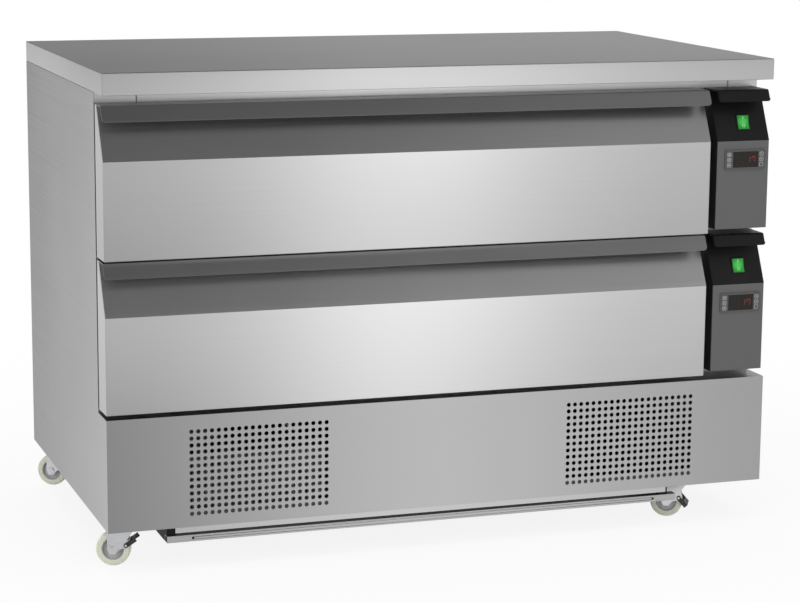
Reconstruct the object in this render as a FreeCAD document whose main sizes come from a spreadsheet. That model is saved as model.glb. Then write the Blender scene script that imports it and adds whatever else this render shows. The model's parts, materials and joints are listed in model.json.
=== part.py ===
import FreeCAD, Part
import math
import os
import re
import Sketcher

# Refrigerated drawer counter, millimetres, +Z up. The origin lies on the floor under the
# middle of the worktop, and the drawers open towards -Y.

doc = FreeCAD.newDocument("drawer_counter")

# Every size that can be set by itself
SIZES = {
    # cabinet
    "width": 1235,
    "depth": 700,
    "sheet": 1.2,
    "skirt": 11,
    "base_height": 197.5,
    "base_gap": 7.5,
    "drawer_height": 260,
    "drawer_gap": 4,
    "top_gap": 18,
    "worktop_edge": 38,
    "back_insulation": 62.6,
    "grille_return": 5,
    "pan_sheet": 2,
    "pan_flange": 15,
    # vent holes and rear slots
    "vent_columns": 21,
    "vent_rows": 13,
    "vent_pitch": 12.1,
    "vent_hole": 7.5,
    "vent_inset": 268,
    "vent_rise": 96,
    "rear_slots": 8,
    "rear_slot_length": 180,
    "rear_slot_height": 6,
    "rear_slot_pitch": 16,
    "rear_slot_rise": 45,
    # carcass front
    "post_left": 72,
    "post_right": 58,
    "seam": 2,
    "wire_hole": 20,
    "liner_wall": 1,
    # drawer front
    "front_thickness": 57,
    "crease_height": 168,
    "recess_depth": 45,
    "lip": 26,
    "lip_corner": 7,
    "inner_panel": 1,
    "gasket_thickness": 8.7,
    "gasket_gap": 0.3,
    "gasket_width": 14,
    "gasket_margin": 4,
    "gasket_inset_side": 0.5,
    "gasket_inset_top": 6,
    "gasket_inset_bottom": 5,
    # drawer box and runners
    "tub_rise": 8,
    "tub_height": 165,
    "tub_wall": 1.2,
    "tub_rim": 8,
    "tub_back_gap": 39.2,
    "runner_width": 12.7,
    "runner_height": 45,
    "runner_sheet": 1.2,
    "runner_play": 0.35,
    "runner_reach": 8.5,
    "runner_rise": 70,
    "runner_front_gap": 8,
    "runner_back_gap": 30,
    # control modules
    "module_width": 103,
    "module_inset": 4,
    "module_gap": 15,
    "module_rise": 7,
    "module_lip": 21,
    "module_wall": 2.5,
    "module_foot": 7.5,
    "module_corner": 6,
    "fascia_thickness": 3,
    "fascia_setback": 2.5,
    # rocker switch
    "rocker_width": 22,
    "rocker_length": 27,
    "rocker_play": 0.4,
    "rocker_frame_wall": 2.1,
    "rocker_frame_proud": 1.5,
    "rocker_body_depth": 16,
    "rocker_climb": 35.6,
    "rocker_offset": 56.5,
    "rocker_tilt": 7,
    "rocker_pivot_depth": 5,
    "rocker_pin": 3,
    "rocker_rim": 0.6,
    "rocker_valley": 1,
    "rocker_edge": 1.6,
    "rocker_relief": 0.8,
    # thermostat
    "thermostat_width": 81,
    "thermostat_height": 36.5,
    "thermostat_proud": 2,
    "thermostat_body_width": 71,
    "thermostat_body_height": 29,
    "thermostat_body_depth": 34,
    "thermostat_drop": 34,
    "thermostat_offset": 55,
    "window_width": 50.6,
    "window_height": 29,
    "window_offset": 16.1,
    "window_thickness": 1,
    "key_width": 8.5,
    "key_height": 8,
    "key_pitch": 9.6,
    "key_thickness": 1.4,
    "key_proud": 0.4,
    "key_play": 0.3,
    "key_travel": 0.6,
    "key_column_left": 8.2,
    "key_column_right": 73,
    # castors
    "castor_height": 86,
    "castor_plate": 60,
    "castor_plate_sheet": 2.5,
    "castor_inset_left": 42,
    "castor_inset_right": 139,
    "castor_inset_front": 60,
    "castor_inset_back": 80,
    "castor_trail": 20,
    "wheel_diameter": 60,
    "wheel_width": 22,
    "hub_width": 24,
    "hub_wall": 4,
    "wheel_web": 16.5,
    "wheel_rim": 18.6,
    "axle_diameter": 8,
    "axle_head": 6.4,
    "head_thickness": 3,
    "bearing_play": 0.05,
    "fork_sheet": 2,
    "fork_play": 1,
    "fork_crown": 14,
    "fork_margin": 9,
    "fork_toe": 5,
    "fork_knee": 11,
    "kingpin": 8,
    "race_radius": 20,
    "race_gap": 0.3,
    "bolt_diameter": 6,
    "bolt_head": 4.8,
    "bolt_spacing": 44,
    "turn_front_left": -22,
    "turn_front_right": -30,
    "turn_rear_left": -32,
    "turn_rear_right": -26,
    # brake pedals
    "pedal_width": 2,
    "pedal_pin": 4,
    "pedal_pivot_reach": 4,
    "pedal_pivot_height": 38.5,
    "pedal_length": 21,
    "pedal_tread_start": 10.5,
    "pedal_up": -35,
    "pedal_down": 48,
    # rail under the base
    "rail_height": 12,
    "rail_depth": 18,
    "rail_wall": 1.5,
    "rail_drop": 38,
    "rail_setback": 4,
    "rail_inset_left": 103.5,
    "rail_inset_right": 169.5,
    "rail_hole": 4,
    "rail_hole_inset": 46,
    "strip_drop": 22,
    "strip_inset_left": 118.5,
    "strip_inset_right": 189.5,
    "strip_thickness": 1.5,
    "strip_gap": 0.5,
    "bracket_width": 16,
    "bracket_length": 130,
    "bracket_inset_right": 186,
    # condensing unit
    "condenser_width": 260,
    "condenser_height": 112,
    "condenser_depth": 60,
    "condenser_gap": 13,
    "shroud_depth": 36,
    "shroud_wall": 1.5,
    "fan_diameter": 100,
    "fan_clearance": 4,
    "fan_hub": 32,
    "fan_hub_length": 16,
    "fan_blades": 5,
    "fan_blade": 1.6,
    "fan_blade_root": 3,
    "fan_blade_chord": 24,
    "fan_blade_pitch": 30,
    "fan_shaft": 5,
    "motor_diameter": 50,
    "motor_length": 40,
    "motor_gap": 2,
    "strut": 8,
    "compressor_diameter": 140,
    "compressor_height": 150,
    "compressor_dome": 40,
    "compressor_x": 40,
    "compressor_y": 60,
    "compressor_foot": 18,
    "compressor_base": 180,
    "compressor_base_depth": 126,
    "compressor_sheet": 3,
    "compressor_seam": 67.5,
    "seam_flange": 5,
    "seam_height": 4,
    "foot_spacing_x": 151,
    "foot_spacing_y": 101,
    "suction_rise": 112.5,
    "discharge_drop": 15,
    "discharge_reach": 90,
    "suction_reach": 54,
    "liquid_reach": 36,
    "tray_length": 200,
    "tray_width": 180,
    "tray_height": 30,
    "tray_wall": 1.5,
    "tray_x": 300,
    "tray_y": 200,
    # evaporators
    "evaporator_bay": 76.8,
    "evaporator_depth": 45,
    "evaporator_length": 280,
    "evaporator_height": 150,
    "evaporator_rise": 24,
    "evaporator_side_gap": 8,
    "evaporator_back_gap": 30,
    "evaporator_fan_rise": 157,
    "evaporator_fan_inset": 150,
    "return_slot": 60,
    # pipes
    "suction_pipe": 10,
    "liquid_pipe": 6,
    "pipe_spacing": 20,
    "pipe_back_gap": 32,
    "pipe_bend": 18,
    "duct_width": 60,
    "duct_depth": 50,
    # cord gland
    "gland_diameter": 20,
    "gland_length": 14,
    "gland_inset_right": 187,
    "gland_inset_back": 40,
}

# What follows from them
LAYOUT = {
    "right": "width / 2",
    "left": "-right",
    "back": "depth / 2",
    "front": "-back",
    "vent_spread": "right - vent_inset",
    "base_low": "castor_height - skirt",
    "base_top": "base_low + base_height",
    "drawer_low": "base_top + base_gap",
    "drawer_top": "drawer_low + drawer_height",
    "drawer_pitch": "drawer_height + drawer_gap",
    "carcass_top": "drawer_top + drawer_pitch + top_gap",
    "top": "carcass_top + worktop_edge",
    "carcass_front": "front + front_thickness + inner_panel + gasket_thickness + gasket_gap",
    "frame_back": "carcass_front + sheet",
    "pan_top": "castor_height + pan_sheet",
    # drawers
    "drawer_right": "right - module_inset - module_width - module_gap",
    "drawer_back": "front + front_thickness",
    "panel_back": "drawer_back + inner_panel",
    "gasket_back": "panel_back + gasket_thickness",
    "gasket_right": "drawer_right - gasket_inset_side",
    "gasket_low": "drawer_low + gasket_inset_bottom",
    "gasket_high": "drawer_top - gasket_inset_top",
    "open_left": "left + post_left",
    "open_right": "gasket_right - gasket_width - gasket_margin",
    "open_low": "gasket_low + gasket_width + gasket_margin",
    "open_high": "gasket_high - gasket_width - gasket_margin",
    "gasket_left": "open_left - gasket_margin - gasket_width",
    "crease": "drawer_low + crease_height",
    "recess_back": "front + recess_depth",
    "incline_height": "drawer_height - sheet - crease_height",
    "lip_run": "lip * recess_depth / incline_height",
    "incline_wall": "sheet * sqrt(1 + pow(recess_depth / incline_height; 2))",
    "crease_inner": "crease - (incline_wall - sheet) * incline_height / recess_depth",
    "liner_back": "back - sheet - back_insulation - liner_wall",
    "bay_left": "open_right + liner_wall",
    "bay_right": "bay_left + evaporator_bay",
    "tub_left": "open_left + runner_width",
    "tub_right": "open_right - runner_width",
    "tub_low": "open_low + tub_rise",
    "tub_high": "tub_low + tub_height",
    "tub_back": "liner_back - tub_back_gap",
    "runner_low": "open_low + runner_rise - runner_height / 2",
    "runner_high": "runner_low + runner_height",
    "runner_front": "carcass_front + runner_front_gap",
    "runner_back": "liner_back - runner_back_gap",
    "middle_inset": "runner_sheet + runner_play",
    "inner_inset": "2 * middle_inset",
    # control modules
    "module_left": "right - module_inset - module_width",
    "module_right": "right - module_inset",
    "module_low": "drawer_low + module_rise",
    "fascia_front": "front + fascia_setback",
    "fascia_back": "fascia_front + fascia_thickness",
    "module_incline_run": "recess_back - fascia_front",
    "module_incline_rise": "incline_height + sheet - module_wall",
    "module_incline_wall": "module_wall * sqrt(1 + pow(module_incline_run / module_incline_rise; 2))",
    "module_lean_angle": "atan(module_incline_run / module_incline_rise)",
    "module_lip_run": "module_lip * module_incline_run / module_incline_rise",
    "rocker_x": "module_left + rocker_offset",
    "rocker_y": "fascia_front + rocker_climb * sin(module_lean_angle)",
    "rocker_z": "crease + rocker_climb * cos(module_lean_angle)",
    "paddle_front": "-rocker_pivot_depth - rocker_frame_proud",
    "paddle_half": "rocker_length / 2 - rocker_relief",
    "frame_width": "rocker_width + 2 * rocker_play + 2 * rocker_frame_wall",
    "frame_length": "rocker_length + 2 * rocker_play + 2 * rocker_frame_wall",
    "thermostat_x": "module_left + thermostat_offset",
    "thermostat_left": "thermostat_x - thermostat_width / 2",
    "thermostat_z": "crease - thermostat_drop",
    "thermostat_front": "fascia_front - thermostat_proud",
    "key_front": "thermostat_front - key_proud",
    "key_back": "key_front + key_thickness",
    "pocket_back": "key_back + key_travel + key_play",
    "window_left": "thermostat_left + window_offset",
    # castors
    "castor_left": "left + castor_inset_left",
    "castor_right": "right - castor_inset_right",
    "castor_front": "front + castor_inset_front",
    "castor_back": "back - castor_inset_back",
    "wheel_radius": "wheel_diameter / 2",
    "plate_low": "castor_height - castor_plate_sheet",
    "crown_top": "castor_height - fork_crown",
    "crown_low": "crown_top - fork_sheet",
    "fork_tail": "-castor_trail - fork_margin",
    "fork_nose": "race_radius + fork_sheet",
    "leg_inner": "hub_width / 2 + fork_play",
    "leg_outer": "leg_inner + fork_sheet",
    "race_middle": "(crown_top + plate_low) / 2",
    "axle_hole": "axle_diameter / 2 + bearing_play",
    # rail under the base
    "rail_front": "front + rail_setback",
    "rail_back": "rail_front + rail_depth",
    "rail_low": "castor_height - rail_drop",
    "rail_left": "left + rail_inset_left",
    "rail_right": "right - rail_inset_right",
    "bracket_right": "right - bracket_inset_right",
    "strip_front": "front + grille_return + strip_gap",
    "strip_back": "strip_front + strip_thickness",
    # condensing unit
    "condenser_front": "front + sheet + condenser_gap",
    "condenser_back": "condenser_front + condenser_depth",
    "condenser_left": "-vent_spread - condenser_width / 2",
    "condenser_right": "-vent_spread + condenser_width / 2",
    "condenser_top": "pan_top + condenser_height",
    "shroud_back": "condenser_back + shroud_depth",
    "fan_z": "pan_top + condenser_height / 2",
    "fan_back": "shroud_back - shroud_wall - motor_gap",
    "compressor_low": "pan_top + compressor_foot",
    # evaporators
    "evaporator_right": "bay_right - evaporator_side_gap",
    "evaporator_left": "evaporator_right - evaporator_depth",
    "evaporator_back": "liner_back - evaporator_back_gap",
    "evaporator_front": "evaporator_back - evaporator_length",
    "evaporator_low": "open_low + evaporator_rise",
    "bay_fan_y": "carcass_front + evaporator_fan_inset",
    "bay_fan_z": "open_low + evaporator_fan_rise",
    # pipes
    "pipe_y": "liner_back + liner_wall + pipe_back_gap",
    "suction_x": "evaporator_left + evaporator_depth / 2 + pipe_spacing / 2",
    "liquid_x": "suction_x - pipe_spacing",
    "duct_x": "suction_x - pipe_spacing / 2",
    "branch_z": "evaporator_low + evaporator_height / 2",
}

CUT = 5  # how far a cutting block runs past a face
NEAR = 0.1  # how close an edge has to be to count as lying in a place
STRIP_COLUMNS = 3  # vent columns in one strip of the base panel


def formula(text):
    """Points each name in an expression at the sheet or at the layout."""

    def owner(match):
        if match[0] in SIZES:
            return "sizes." + match[0]
        return "layout." + match[0] if match[0] in LAYOUT else match[0]

    return re.sub(r"[a-z_][a-z0-9_]*", owner, str(text))


def bind(item, name, text):
    item.setExpression(name, formula(text))


sheet = doc.addObject("Spreadsheet::Sheet", "sizes")
for row, (alias, value) in enumerate(SIZES.items(), 1):
    sheet.set(f"A{row}", alias)
    sheet.set(f"B{row}", str(value))
    sheet.setAlias(f"B{row}", alias)
doc.recompute()

layout = doc.addObject("App::VarSet", "layout")
for name, text in LAYOUT.items():
    kind = "App::PropertyAngle" if name.endswith("_angle") else "App::PropertyFloat"
    layout.addProperty(kind, name, "layout")
    bind(layout, name, text)
doc.recompute()


def number(text):
    """The value of a size or a layout name."""
    return float(sheet.get(text)) if text in SIZES else float(getattr(layout, text))


def bind_place(item, x="0", y="0", z="0"):
    bind(item, "Placement.Base.x", x)
    bind(item, "Placement.Base.y", y)
    bind(item, "Placement.Base.z", z)


def box(name, x, y, z):
    """A block between two expressions on each axis."""
    block = doc.addObject("Part::Box", name)
    for side, (low, high) in zip(("Length", "Width", "Height"), (x, y, z)):
        bind(block, side, f"({high}) - ({low})")
    bind_place(block, x[0], y[0], z[0])
    return block


TOWARDS = {"x": ((0, 1, 0), 90), "y": ((1, 0, 0), -90), "z": ((0, 0, 1), 0)}


def turned(item, axis, angle):
    item.Placement.Rotation = FreeCAD.Rotation(FreeCAD.Vector(*axis), angle)


def cylinder(name, along, x, y, z, radius, length):
    """A cylinder that starts at a point and runs along an axis."""
    rod = doc.addObject("Part::Cylinder", name)
    turned(rod, *TOWARDS[along])
    bind_place(rod, x, y, z)
    bind(rod, "Radius", radius)
    bind(rod, "Height", length)
    return rod


def fuse(name, *pieces):
    joined = doc.addObject("Part::MultiFuse", name)
    joined.Shapes = list(pieces)
    return joined


def cut(name, base, *tools):
    """The base without the tools."""
    carved = doc.addObject("Part::Cut", name)
    carved.Base = base
    carved.Tool = tools[0] if len(tools) == 1 else fuse(name + "_tools", *tools)
    return carved


def group(name, *pieces):
    """Separate pieces kept together."""
    together = doc.addObject("Part::Compound", name)
    together.Links = list(pieces)
    return together


def placed(name, piece, x="0", y="0", z="0", axis=(0, 0, 1), angle=None):
    """The piece moved and turned as a whole."""
    moved = group(name, piece)
    if angle is not None:
        turned(moved, axis, 1)
        bind(moved, "Placement.Rotation.Angle", angle)
    bind_place(moved, x, y, z)
    return moved


def raised(name, piece):
    """The piece one drawer higher."""
    return placed(name, piece, z="drawer_pitch")


def both_levels(name, piece):
    return group(name, piece, raised(name + "_raised", piece))


def outline(body, plane, points):
    """A closed sketch through points given as pairs of expressions."""
    sketch = body.newObject("Sketcher::SketchObject", body.Name + "_outline")
    origin_plane = next(f for f in body.Origin.OriginFeatures if f.Role == plane)
    sketch.AttachmentSupport = [(origin_plane, "")]
    sketch.MapMode = "FlatFace"
    count = len(points)
    turn = 2 * math.pi / count
    start = [FreeCAD.Vector(math.cos(turn * i), math.sin(turn * i), 0) for i in range(count)]
    for i in range(count):
        sketch.addGeometry(Part.LineSegment(start[i], start[(i + 1) % count]), False)
    for i in range(count):
        sketch.addConstraint(Sketcher.Constraint("Coincident", i, 2, (i + 1) % count, 1))
    for i, (across, up) in enumerate(points):
        for kind, text, first in (("DistanceX", across, start[i].x), ("DistanceY", up, start[i].y)):
            index = sketch.addConstraint(Sketcher.Constraint(kind, -1, 1, i, 1, first))
            bind(sketch, f"Constraints[{index}]", text)
    return sketch


def extrusion(name, plane, points, length, start="0"):
    """A profile in the YZ plane that runs along +X, or one in the XZ plane along -Y."""
    body = doc.addObject("PartDesign::Body", name)
    sketch = outline(body, plane, points)
    pad = body.newObject("PartDesign::Pad", name + "_pad")
    pad.Profile = sketch
    bind(pad, "Length", length)
    bind(body, "Placement.Base.x" if plane == "YZ_Plane" else "Placement.Base.y", start)
    return body


def revolution(name, points):
    """A profile of radius and height, turned about Z."""
    body = doc.addObject("PartDesign::Body", name)
    sketch = outline(body, "XZ_Plane", points)
    turning = body.newObject("PartDesign::Revolution", name + "_turning")
    turning.Profile = sketch
    turning.ReferenceAxis = (sketch, ["V_Axis"])
    turning.Angle = 360
    return body


def rounded(body, radius, chosen):
    """Rounds the edges of a body's last feature that a test picks out."""
    doc.recompute()
    last = body.Tip
    edges = [f"Edge{i}" for i, edge in enumerate(last.Shape.Edges, 1) if chosen(edge)]
    fillet = body.newObject("PartDesign::Fillet", body.Name + "_rounding")
    fillet.Base = (last, edges)
    bind(fillet, "Radius", radius)
    return body


def pipe(name, points, diameter, bend):
    """A tube along straight runs that tangent arcs join."""
    corners = [FreeCAD.Vector(*point) for point in points]
    edges = []
    here = corners[0]
    for before, corner, after in zip(corners, corners[1:], corners[2:]):
        back_way = (before - corner).normalize()
        on_way = (after - corner).normalize()
        half = back_way.getAngle(on_way) / 2
        reach = bend / math.tan(half)
        first = corner + back_way * reach
        last = corner + on_way * reach
        middle_way = (back_way + on_way).normalize()
        middle = corner + middle_way * (bend / math.sin(half) - bend)
        edges.append(Part.LineSegment(here, first).toShape())
        edges.append(Part.Arc(first, middle, last).toShape())
        here = last
    edges.append(Part.LineSegment(here, corners[-1]).toShape())
    path = Part.Wire(edges)
    ring = Part.Wire(Part.Circle(corners[0], corners[1] - corners[0], diameter / 2).toShape())
    tube = doc.addObject("Part::Feature", name)
    tube.Shape = path.makePipeShell([ring], True, False)
    return tube


sub_parts = []


def sub_part(label, piece):
    """Marks a finished piece and gives it the name of its file."""
    piece.Label = label
    sub_parts.append(piece)
    return piece


# Worktop: a folded tray, open below where it caps the insulated body
worktop_inside = box(
    "worktop_inside",
    ("left + sheet", "right - sheet"),
    ("carcass_front", "back - sheet"),
    (f"carcass_top - {CUT}", "top - sheet"),
)
overhang_inside = box(
    "overhang_inside",
    ("left + sheet", "right - sheet"),
    ("front + sheet", "carcass_front + sheet"),
    ("carcass_top + sheet", "top - sheet"),
)
worktop_block = box("worktop_block", ("left", "right"), ("front", "back"), ("carcass_top", "top"))
sub_part("worktop", cut("worktop_tray", worktop_block, worktop_inside, overhang_inside))

# Side panels: set back above the base, behind the drawer fronts
panel_outline = [
    ("front + sheet", "base_low"),
    ("back", "base_low"),
    ("back", "carcass_top"),
    ("carcass_front", "carcass_top"),
    ("carcass_front", "base_top - sheet"),
    ("front + sheet", "base_top - sheet"),
]
sub_part("left_side_panel", extrusion("left_panel", "YZ_Plane", panel_outline, "sheet", "left"))
sub_part(
    "right_side_panel",
    extrusion("right_panel", "YZ_Plane", panel_outline, "sheet", "right - sheet"),
)

# Rear panel: a sheet with rows of air slots in front of the machine space
rear_sheet = box(
    "rear_sheet",
    ("left + sheet", "right - sheet"),
    ("back - sheet", "back"),
    ("base_low", "carcass_top"),
)
slots = []
for i in range(int(number("rear_slots"))):
    low = f"base_low + rear_slot_rise + {i} * rear_slot_pitch"
    for side, middle in (("left", "-vent_spread"), ("right", "vent_spread")):
        slots.append(
            box(
                f"rear_slot_{side}_{i}",
                (f"{middle} - rear_slot_length / 2", f"{middle} + rear_slot_length / 2"),
                (f"back - sheet - {CUT}", f"back + {CUT}"),
                (low, f"{low} + rear_slot_height"),
            )
        )
sub_part("rear_panel", cut("rear_slotted", rear_sheet, *slots))

# Base pan: the floor of the machine space, folded up all round
pan_block = box(
    "pan_block",
    ("left + sheet", "right - sheet"),
    ("front + sheet", "back - sheet"),
    ("castor_height", "castor_height + pan_flange"),
)
pan_inside = box(
    "pan_inside",
    ("left + sheet + pan_sheet", "right - sheet - pan_sheet"),
    ("front + sheet + pan_sheet", "back - sheet - pan_sheet"),
    ("pan_top", f"castor_height + pan_flange + {CUT}"),
)
sub_part("base_pan", cut("pan_tray", pan_block, pan_inside))


# Base panel: two fields of round vent holes, a ledge on top and a return below
def perforated_plate():
    """The front plate with its holes, joined from upright strips of a few columns each."""
    low, high, y = number("base_low"), number("base_top"), number("front")
    pitch = number("vent_pitch")
    columns = int(number("vent_columns"))
    rows = int(number("vent_rows"))
    middle_z = low + number("vent_rise")
    field = columns * pitch
    strips = []

    def strip(left, right, centres=()):
        corners = [(left, low), (right, low), (right, high), (left, high), (left, low)]
        wires = [Part.makePolygon([FreeCAD.Vector(x, y, z) for x, z in corners])]
        for x in centres:
            for j in range(rows):
                centre = FreeCAD.Vector(x, y, middle_z + (j - (rows - 1) / 2) * pitch)
                ring = Part.Circle(centre, FreeCAD.Vector(0, 1, 0), number("vent_hole") / 2)
                wires.append(Part.Wire(ring.toShape()))
        strips.append(Part.Face(wires).extrude(FreeCAD.Vector(0, number("sheet"), 0)))

    edge = number("left")
    for middle_x in (-number("vent_spread"), number("vent_spread")):
        strip(edge, middle_x - field / 2)
        edge = middle_x - field / 2
        for first in range(0, columns, STRIP_COLUMNS):
            here = min(STRIP_COLUMNS, columns - first)
            strip(edge, edge + here * pitch, [edge + (i + 0.5) * pitch for i in range(here)])
            edge += here * pitch
    strip(edge, number("right"))
    return strips[0].multiFuse(strips[1:])


vent_plate = doc.addObject("Part::Feature", "vent_plate")
vent_plate.Shape = perforated_plate()
ledge = box("ledge", ("left", "right"), ("front", "carcass_front"), ("base_top - sheet", "base_top"))
lower_return = box(
    "lower_return",
    ("left + sheet", "right - sheet"),
    ("front", "front + grille_return"),
    ("base_low", "base_low + sheet"),
)
base_front = fuse("base_front", vent_plate, ledge, lower_return)
base_front.Refine = False
sub_part("base_grille", base_front)

# Front frame: two corner posts and one face plate with an opening for each drawer
left_post = box(
    "left_post",
    ("left + sheet", "open_left"),
    ("carcass_front", "frame_back"),
    ("base_top", "carcass_top"),
)
right_post = box(
    "right_post",
    ("right - post_right", "right - sheet"),
    ("carcass_front", "frame_back"),
    ("base_top", "carcass_top"),
)
face_block = box(
    "face_block",
    ("open_left + seam", "right - post_right - seam"),
    ("carcass_front", "frame_back"),
    ("base_top", "carcass_top"),
)
face_opening = box(
    "face_opening",
    (f"open_left - {CUT}", "open_right"),
    (f"carcass_front - {CUT}", f"frame_back + {CUT}"),
    ("open_low", "open_high"),
)
wire_hole = cylinder(
    "face_wire_hole",
    "y",
    "thermostat_x",
    f"carcass_front - {CUT}",
    "crease",
    "wire_hole / 2",
    f"sheet + 2 * {CUT}",
)
face_tools = fuse("face_tools", face_opening, wire_hole)
face_plate = cut("face_plate", face_block, face_tools, raised("face_tools_raised", face_tools))
sub_part("front_frame", group("front_frame_set", left_post, right_post, face_plate))

# Cavity liners: a drawer bay and a narrow evaporator bay, parted by a wall with air holes
liner_block = box(
    "liner_block",
    ("open_left - liner_wall", "bay_right + liner_wall"),
    ("frame_back", "liner_back + liner_wall"),
    ("open_low - liner_wall", "open_high + liner_wall"),
)
drawer_bay = box(
    "drawer_bay",
    ("open_left", "open_right"),
    (f"frame_back - {CUT}", "liner_back"),
    ("open_low", "open_high"),
)
evaporator_space = box(
    "evaporator_space",
    ("bay_left", "bay_right"),
    (f"frame_back - {CUT}", "liner_back"),
    ("open_low", "open_high"),
)
fan_opening = cylinder(
    "fan_opening",
    "x",
    f"open_right - {CUT}",
    "bay_fan_y",
    "bay_fan_z",
    "fan_diameter / 2 + fan_clearance / 2",
    f"liner_wall + 2 * {CUT}",
)
return_opening = box(
    "return_opening",
    (f"open_right - {CUT}", f"bay_left + {CUT}"),
    ("evaporator_back - return_slot * 3", "evaporator_back"),
    ("bay_fan_z - return_slot / 2", "bay_fan_z + return_slot / 2"),
)
pipe_openings = [
    cylinder(
        f"{label}_opening",
        "y",
        x,
        f"liner_back - {CUT}",
        "branch_z",
        f"{diameter} / 2 + bearing_play",
        f"liner_wall + 2 * {CUT}",
    )
    for label, x, diameter in (
        ("suction", "suction_x", "suction_pipe"),
        ("liquid", "liquid_x", "liquid_pipe"),
    )
]
liner = cut(
    "liner",
    cut("liner_shell", liner_block, drawer_bay, evaporator_space),
    fan_opening,
    return_opening,
    *pipe_openings,
)
sub_part("cavity_liners", both_levels("liner_set", liner))

# Insulation: foam that fills everything between the skins and the liners
foam_block = box(
    "foam_block",
    ("left + sheet", "right - sheet"),
    ("frame_back", "back - sheet"),
    ("base_top", "top - sheet"),
)
pipe_duct = box(
    "pipe_duct",
    ("duct_x - duct_width / 2", "duct_x + duct_width / 2"),
    ("liner_back", "liner_back + liner_wall + duct_depth"),
    (f"base_top - {CUT}", "branch_z + drawer_pitch + duct_width / 2"),
)
wire_duct = cylinder(
    "wire_duct",
    "y",
    "thermostat_x",
    f"frame_back - {CUT}",
    "crease",
    "wire_hole / 2",
    f"wire_hole + {CUT}",
)
foam = cut(
    "foam",
    foam_block,
    liner_block,
    raised("liner_block_raised", liner_block),
    pipe_duct,
    wire_duct,
    raised("wire_duct_raised", wire_duct),
)
sub_part("insulation_foam", foam)


# Runners: three nested channels at each side of a drawer. Profiles are drawn from the
# bay's wall towards the drawer box, mirrored on the right.
def channel(name, side, near, far, inset, web_first):
    """A channel between two distances from the bay's wall, its web at one of them."""
    start, sign = ("open_left", 1) if side == "left" else ("open_right", -1)
    across = [f"({start}) + {sign} * ({near})", f"({start}) + {sign} * ({far})"]
    hollow_near = f"{near} + runner_sheet" if web_first else f"{near} - {CUT}"
    hollow_far = f"{far} + {CUT}" if web_first else f"{far} - runner_sheet"
    hollow = [f"({start}) + {sign} * ({hollow_near})", f"({start}) + {sign} * ({hollow_far})"]
    if sign < 0:
        across.reverse()
        hollow.reverse()
    bar = box(
        name + "_bar",
        across,
        ("runner_front", "runner_back"),
        (f"runner_low + {inset}", f"runner_high - ({inset})"),
    )
    trough = box(
        name + "_trough",
        hollow,
        (f"runner_front - {CUT}", f"runner_back + {CUT}"),
        (f"runner_low + {inset} + runner_sheet", f"runner_high - ({inset}) - runner_sheet"),
    )
    return cut(name, bar, trough)


cabinet_members = []
middle_members = []
drawer_members = []
for side in ("left", "right"):
    cabinet_members.append(channel(f"cabinet_member_{side}", side, "0", "runner_reach", "0", True))
    middle_members.append(
        channel(
            f"middle_member_{side}",
            side,
            "middle_inset",
            "runner_width - runner_sheet - runner_play",
            "middle_inset",
            True,
        )
    )
    drawer_members.append(
        channel(
            f"drawer_member_{side}",
            side,
            "inner_inset",
            "runner_width",
            "inner_inset",
            False,
        )
    )
cabinet_pair = group("cabinet_runner_pair", *cabinet_members)
middle_pair = group("middle_runner_pair", *middle_members)
drawer_pair = group("drawer_runner_pair", *drawer_members)
sub_part("cabinet_runners", both_levels("cabinet_runner_set", cabinet_pair))
sub_part("lower_runner_middles", middle_pair)
sub_part("upper_runner_middles", raised("middle_pair_raised", middle_pair))
sub_part("lower_drawer_runners", drawer_pair)
sub_part("upper_drawer_runners", raised("drawer_pair_raised", drawer_pair))

# Drawer front: one folded sheet, upright below the crease and leaning back above it, with
# a flat top that runs forward to a turned-down lip of the same lean; caps close its ends
shell_outline = [
    ("drawer_back", "drawer_low"),
    ("front", "drawer_low"),
    ("front", "crease"),
    ("recess_back", "drawer_top - sheet"),
    ("front + incline_wall + lip_run * (1 - sheet / lip)", "drawer_top - sheet"),
    ("front + incline_wall", "drawer_top - lip"),
    ("front", "drawer_top - lip"),
    ("front + lip_run", "drawer_top"),
    ("drawer_back", "drawer_top"),
    ("drawer_back", "drawer_top - sheet"),
    ("recess_back + incline_wall", "drawer_top - sheet"),
    ("front + sheet", "crease_inner"),
    ("front + sheet", "drawer_low + sheet"),
    ("drawer_back", "drawer_low + sheet"),
]
folded_sheet = extrusion(
    "folded_sheet", "YZ_Plane", shell_outline, "drawer_right - left", "left"
)
cap_outline = [
    ("drawer_back", "drawer_low"),
    ("front", "drawer_low"),
    ("front", "crease"),
    ("recess_back", "drawer_top - sheet"),
    ("drawer_back", "drawer_top - sheet"),
]
left_cap = extrusion("left_cap", "YZ_Plane", cap_outline, "sheet", "left")
right_cap = extrusion("right_cap", "YZ_Plane", cap_outline, "sheet", "drawer_right - sheet")


def lip_corners(name, ends, lip_low, corner, y):
    """What rounds the lower corners of a lip: a square less a disc at each end."""
    cutters = []
    for i, (end, sign) in enumerate(ends):
        low, high = (end, f"{end} + {corner}") if sign > 0 else (f"{end} - {corner}", end)
        square = box(
            f"{name}_square_{i}",
            (f"{low} - {CUT if sign > 0 else 0}", f"{high} + {0 if sign > 0 else CUT}"),
            y,
            (f"{lip_low} - {CUT}", f"{lip_low} + {corner}"),
        )
        disc = cylinder(
            f"{name}_disc_{i}",
            "y",
            f"{end} + {sign} * {corner}",
            f"{y[0]} - {CUT}",
            f"{lip_low} + {corner}",
            corner,
            f"({y[1]}) - ({y[0]}) + 2 * {CUT}",
        )
        cutters.append(cut(f"{name}_corner_{i}", square, disc))
    return cutters


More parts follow.
